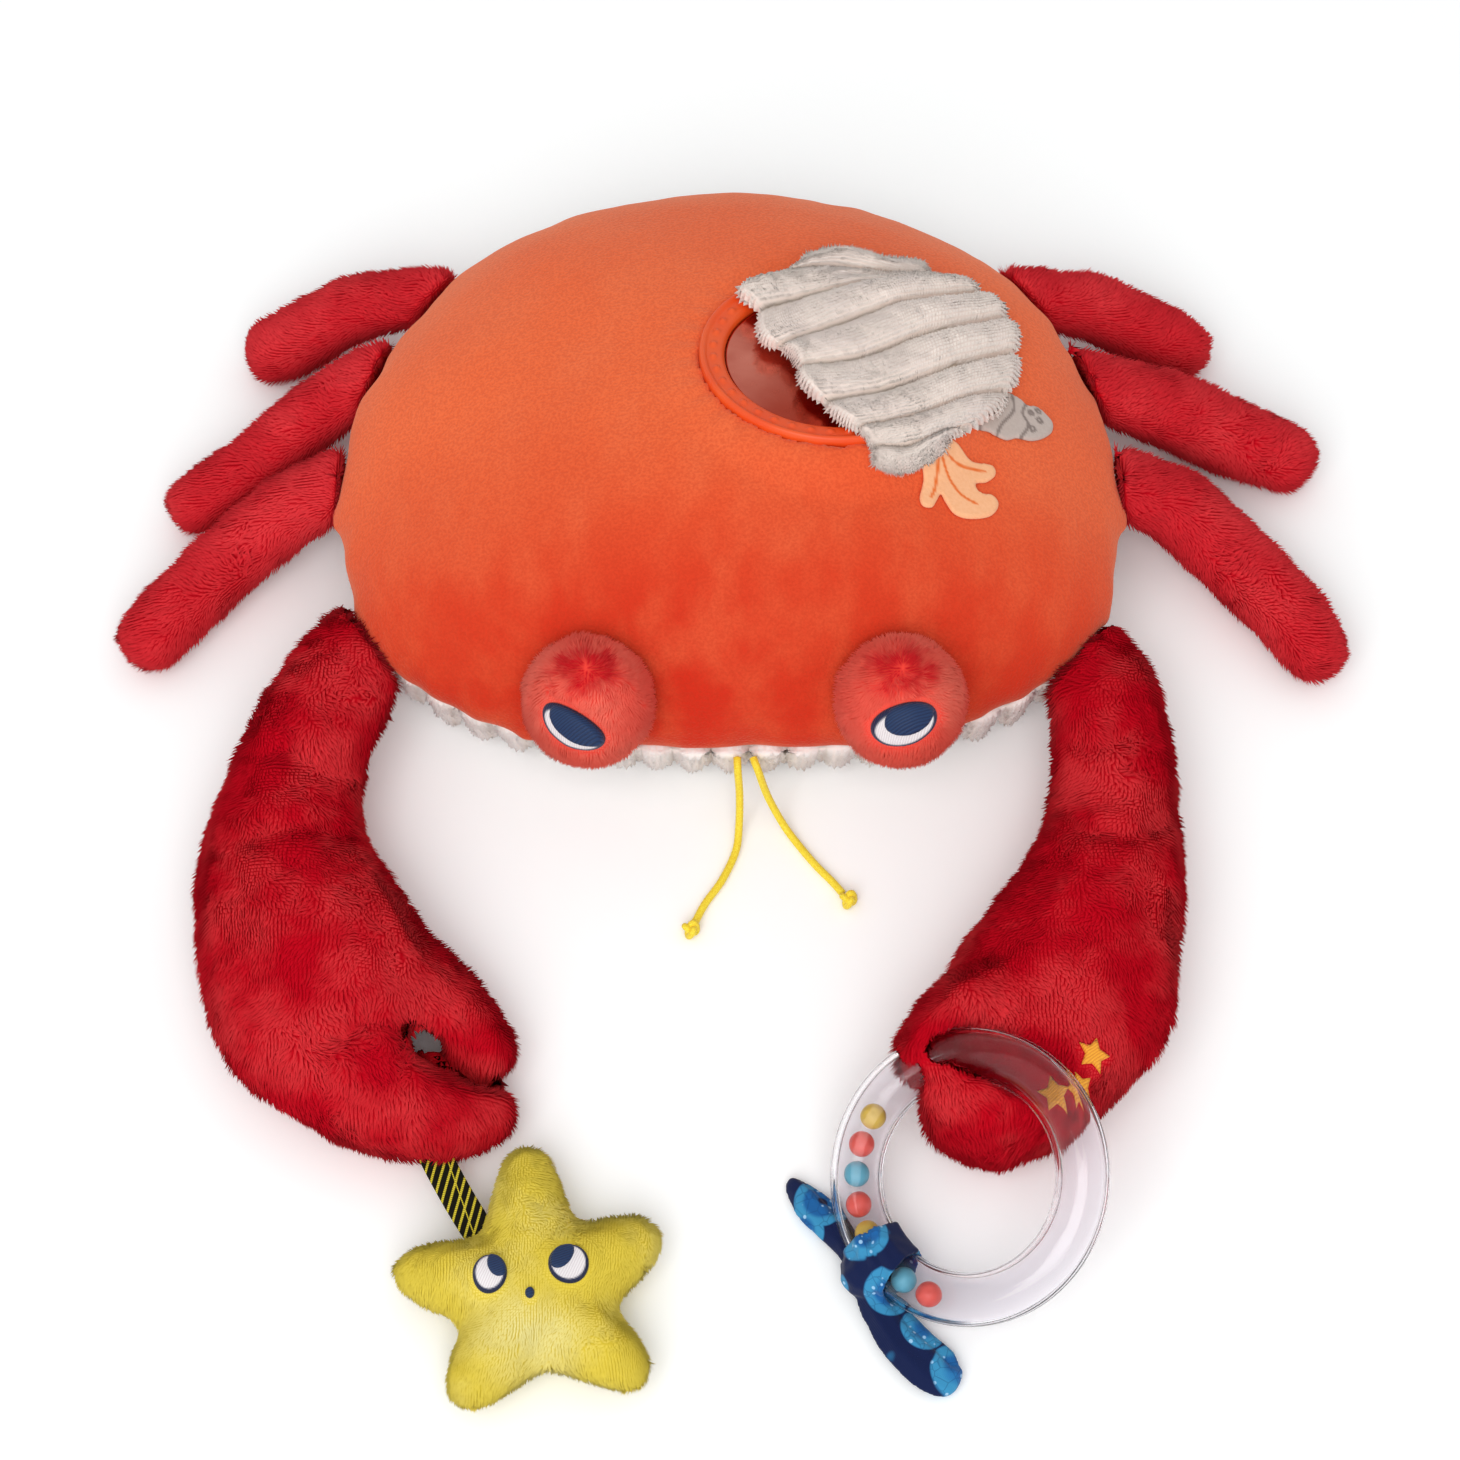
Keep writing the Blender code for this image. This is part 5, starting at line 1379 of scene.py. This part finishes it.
def spread_values(grid, passes):
    """Fill the gaps of a grid from their neighbours, and smooth it."""
    known = ~np.isnan(grid)
    columns = np.arange(grid.shape[1])
    filled = np.full(grid.shape, np.nan)
    for r, row_known in enumerate(known):
        if row_known.sum() > 3:
            filled[r] = np.interp(columns, columns[row_known], grid[r][row_known])
    good = np.where(~np.isnan(filled[:, 0]))[0]
    for r in range(len(filled)):
        if np.isnan(filled[r, 0]):
            filled[r] = filled[good[np.argmin(np.abs(good - r))]]
    for _ in range(passes):
        padded = np.pad(filled, 1, mode="edge")
        filled = (padded[1:-1, :-2] + padded[1:-1, 2:] + padded[:-2, 1:-1] + padded[2:, 1:-1]) / 4
    return filled


# Ring, beads, tie and strap


def build_ring(clear, beads):
    middle = box_middle("rattle_ring_upper_half", "rattle_ring_lower_half")
    turn = Matrix.Rotation(RING_DOWNHILL, 4, "Z") @ Matrix.Rotation(RING_TILT, 4, "Y")
    place = Matrix.Translation(middle) @ turn
    for half, sign in (("upper", 1), ("lower", -1)):
        outer = [(TUBE_RADIUS, math.pi * k / TUBE_STEPS) for k in range(TUBE_STEPS + 1)]
        inner = [(TUBE_RADIUS - TUBE_WALL, math.pi * (1 - k / TUBE_STEPS)) for k in range(TUBE_STEPS + 1)]
        profile = [
            (RING_RADIUS + r * math.cos(a), sign * max(r * math.sin(a), WELD_GAP / 2))
            for r, a in outer + inner
        ]
        points, quads = lathe(profile, RING_STEPS, place)
        shell = link_object(f"ring_{half}_shell", mesh_of(f"ring_{half}_shell", points, quads), clear)
        finish_piece(shell, "clear_plastic", f"rattle_ring_{half}_half")
    for i, slot in enumerate(BEAD_SLOTS):
        node = f"bead_{i + 1}"
        bm = bmesh.new()
        bmesh.ops.create_uvsphere(bm, u_segments=32, v_segments=20, radius=1.0)
        low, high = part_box(node)
        radius = (high.z - low.z) / 2
        tilt = Matrix.Rotation(0.9 * i, 3, Vector((0.3, 1.0, 0.2)).normalized())
        for vert in bm.verts:
            seam = BEAD_SEAM * math.exp(-((vert.co.z / 0.06) ** 2))
            dimple = BEAD_DIMPLE * math.exp(-((math.hypot(vert.co.x, vert.co.y) / 0.16) ** 2))
            vert.co = (low + high) / 2 + tilt @ vert.co * radius * (1 + seam - dimple)
        mesh = bpy.data.meshes.new(f"rattle_{node}")
        bm.to_mesh(mesh)
        bm.free()
        finish_piece(link_object(f"rattle_{node}", mesh, beads[slot]), slot, node)


def build_tie(cotton):
    """The knotted strip: folds fan out of the knot, and each tail has a crease down its middle."""
    points, quads = skin("ring_tie", TIE_VOXEL, TIE_PASSES, 0)
    normal = vertex_normals(points, quads)
    knot = np.array(TIE_KNOT)
    away = points - knot
    reach = np.linalg.norm(away, axis=1)
    angle = np.arctan2(away[:, 1], away[:, 0])
    fan = np.sin(angle * TIE_FOLDS + reach * TIE_SPIRAL + noise_values(points, 0.006, 2.0) * 2.5)
    press = TIE_BULGE * np.exp(-((reach / 0.012) ** 2))
    press = press + TIE_FOLD_DEPTH * fan * np.exp(-((reach / 0.011) ** 2))
    press = press + noise_values(points, 0.005, 5.0) * 0.0003
    for line in TIE_CREASES:
        near = near_line(points, smooth_line(line))
        upper = smooth_step(normal[:, 2], 0.0, 0.6)
        press -= TIE_CREASE_DEPTH * np.exp(-((near / 0.0011) ** 2)) * upper
        press += TIE_RIDGE_HEIGHT * np.exp(-(((near - 0.0032) / 0.0012) ** 2)) * upper
    points = points + normal * press[:, None]
    points[:, 2] = np.maximum(points[:, 2], ABOVE_FLOOR)
    mesh = mesh_of("tie_cloth", points, quads)
    tie = finish_piece(link_object("tie_cloth", mesh, cotton), "printed_cloth", "ring_tie")


def build_strap():
    path, length = smooth_path(STRAP_ROUTE, 0.0006)
    tape = strap_material()
    half = STRAP_WIDTH / 2
    thick = STRAP_THICKNESS / 2
    across = np.linspace(-half, half, 17)
    edge = [thick * (1 - 0.5 * (abs(x) / half) ** 8) for x in across]
    ring = list(zip(across, edge)) + [(x, -z) for x, z in list(zip(across, edge))[::-1]]
    strap = sweep("strap_tape", path, lambda run: ring, tape)
    finish_piece(strap, "woven_strap", "star_strap")


# Mouth cords


def smooth_path(route, step):
    """Points a step apart on the smooth curve through a route."""
    points = [Vector(p) for p in route]
    dense = [catmull(points, i / POINTS_PER_SPAN) for i in range((len(points) - 1) * POINTS_PER_SPAN + 1)]
    lengths = np.concatenate([[0.0], np.cumsum([(b - a).length for a, b in zip(dense, dense[1:])])])
    count = max(2, round(lengths[-1] / step))
    wanted = np.linspace(0.0, lengths[-1], count + 1)
    places = np.array([tuple(p) for p in dense])
    path = [Vector([np.interp(w, lengths, places[:, axis]) for axis in range(3)]) for w in wanted]
    return path, lengths[-1]


def sweep(name, path, section, material):
    """A closed tube along a path; section gives a ring of (across, up) points for a place and its length."""
    bm = bmesh.new()
    rings = []
    up = Vector((0.0, 0.0, 1.0))
    run = 0.0
    for i, point in enumerate(path):
        heading = (path[min(i + 1, len(path) - 1)] - path[max(i - 1, 0)]).normalized()
        run += (point - path[i - 1]).length if i else 0.0
        up = (up - heading * up.dot(heading)).normalized()
        side = heading.cross(up)
        rings.append([bm.verts.new(point + side * x + up * z) for x, z in section(run)])
    for first, second in zip(rings, rings[1:]):
        for k in range(len(first)):
            n = (k + 1) % len(first)
            bm.faces.new((first[k], first[n], second[n], second[k]))
    bm.faces.new(rings[0][::-1])
    bm.faces.new(rings[-1])
    bmesh.ops.recalc_face_normals(bm, faces=bm.faces)
    mesh = bpy.data.meshes.new(name)
    bm.to_mesh(mesh)
    bm.free()
    return link_object(name, mesh, material)


def rope_section(radius, sides):
    """Outline of a twisted rope of a radius, at a length along it."""
    def section(run):
        twist = 2 * math.pi * run / CORD_TWIST_LENGTH
        ring = []
        for k in range(sides):
            angle = 2 * math.pi * k / sides
            lobe = abs(math.cos(CORD_LOBES / 2 * (angle - twist)))
            reach = radius * (1 - CORD_LOBE_DEPTH + CORD_LOBE_DEPTH * lobe)
            ring.append((reach * math.cos(angle), reach * math.sin(angle)))
        return ring
    return section


def build_cord(side, route, yellow):
    node = f"{side}_cord"
    section = rope_section(CORD_DIAMETER / 2, CORD_SIDES)
    path, length = smooth_path(route, CORD_STEP)
    cord = sweep(f"{node}_rope", path, section, yellow)
    finish_piece(cord, "yellow_cord", node)
    low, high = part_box(f"{node}_knot")
    centre = (low + high) / 2
    size = (high.x - low.x) / 2 - KNOT_STRAND
    turns = [2 * math.pi * i / KNOT_STEPS for i in range(KNOT_STEPS + 1)]
    loop = [
        centre + Vector((
            (math.sin(t) + 2 * math.sin(2 * t)) / 3,
            (math.cos(t) - 2 * math.cos(2 * t)) / 3,
            -0.8 * math.sin(3 * t),
        )) * size
        for t in turns
    ]
    strand = rope_section(KNOT_STRAND * 1.25, KNOT_SIDES)
    knot = sweep(f"{node}_knot_rope", loop, strand, yellow)
    finish_piece(knot, "yellow_cord", f"{node}_knot")


def main():
    noise.seed_set(NOISE_SEED)
    build_camera()
    build_stage()
    build_light()
    yellow_cord = cord_material()
    build_cord("left", LEFT_CORD_ROUTE, yellow_cord)
    build_cord("right", RIGHT_CORD_ROUTE, yellow_cord)
    # The first colour of each chenille is the painted shade at the root of its pile.
    cream = ribbed_material("cream_chenille", (0.94, 0.79, 0.71), (1.0, 0.89, 0.81), (0.97, 0.85, 0.79))
    pale_cream = ribbed_material("pale_chenille", (1.0, 0.92, 0.87), (1.0, 0.96, 0.93), (1.0, 0.93, 0.89))
    white = thread_material("white_thread", (0.86, 0.82, 0.83), (0.72, 0.66, 0.68), 0.4)
    navy = thread_material("navy_thread", (0.008, 0.032, 0.105), (0.005, 0.018, 0.065), 1.2)
    gold = thread_material("gold_thread", (0.95, 0.42, 0.03), (0.80, 0.28, 0.02), 0.9)
    mirror = mirror_place()
    cloth, dome = build_body(velour_material(), mirror)
    build_belly(pale_cream)
    frame_piece = build_mirror(mirror, plastic_material(), mirror_material())
    peach = felt_material("peach_felt", (0.95, 0.50, 0.27), (0.88, 0.42, 0.20), (0.80, 0.17, 0.03))
    grey = felt_material("grey_felt", (0.55, 0.46, 0.415), (0.48, 0.39, 0.345), (0.24, 0.19, 0.17))
    patches = build_felt(dome, peach, grey)
    build_flap(cream, mirror, cloth, frame_piece, *patches)
    # Plush colours are root, tip, worn, accent and sheen tint: the root colour is painted shade, and the red
    # plush's accent is the legs' painted sheen.
    red = plush_material(
        "red_plush", (0.53, 0.0, 0.009), (0.55, 0.001, 0.011), (0.72, 0.032, 0.040), (1.0, 0.060, 0.072),
        (1.0, 0.08, 0.09),
    )
    coral = plush_material(
        "coral_plush", (0.98, 0.072, 0.050), (1.0, 0.128, 0.088), (1.0, 0.18, 0.125), (0.70, 0.008, 0.017),
        (1.0, 0.3, 0.25),
    )
    yellow = plush_material(
        "yellow_plush", (0.74, 0.56, 0.050), (0.83, 0.65, 0.078), (0.88, 0.72, 0.155), (0.90, 0.80, 0.32),
        (1.0, 0.95, 0.6),
    )
    build_limbs(red, gold)
    build_stalks(coral, white, navy)
    build_star(yellow, white, navy)
    beads = {slot: bead_material(slot, colour) for slot, colour in BEAD_COLOURS.items()}
    build_ring(clear_material(), beads)
    build_tie(print_material())
    build_strap()


main()
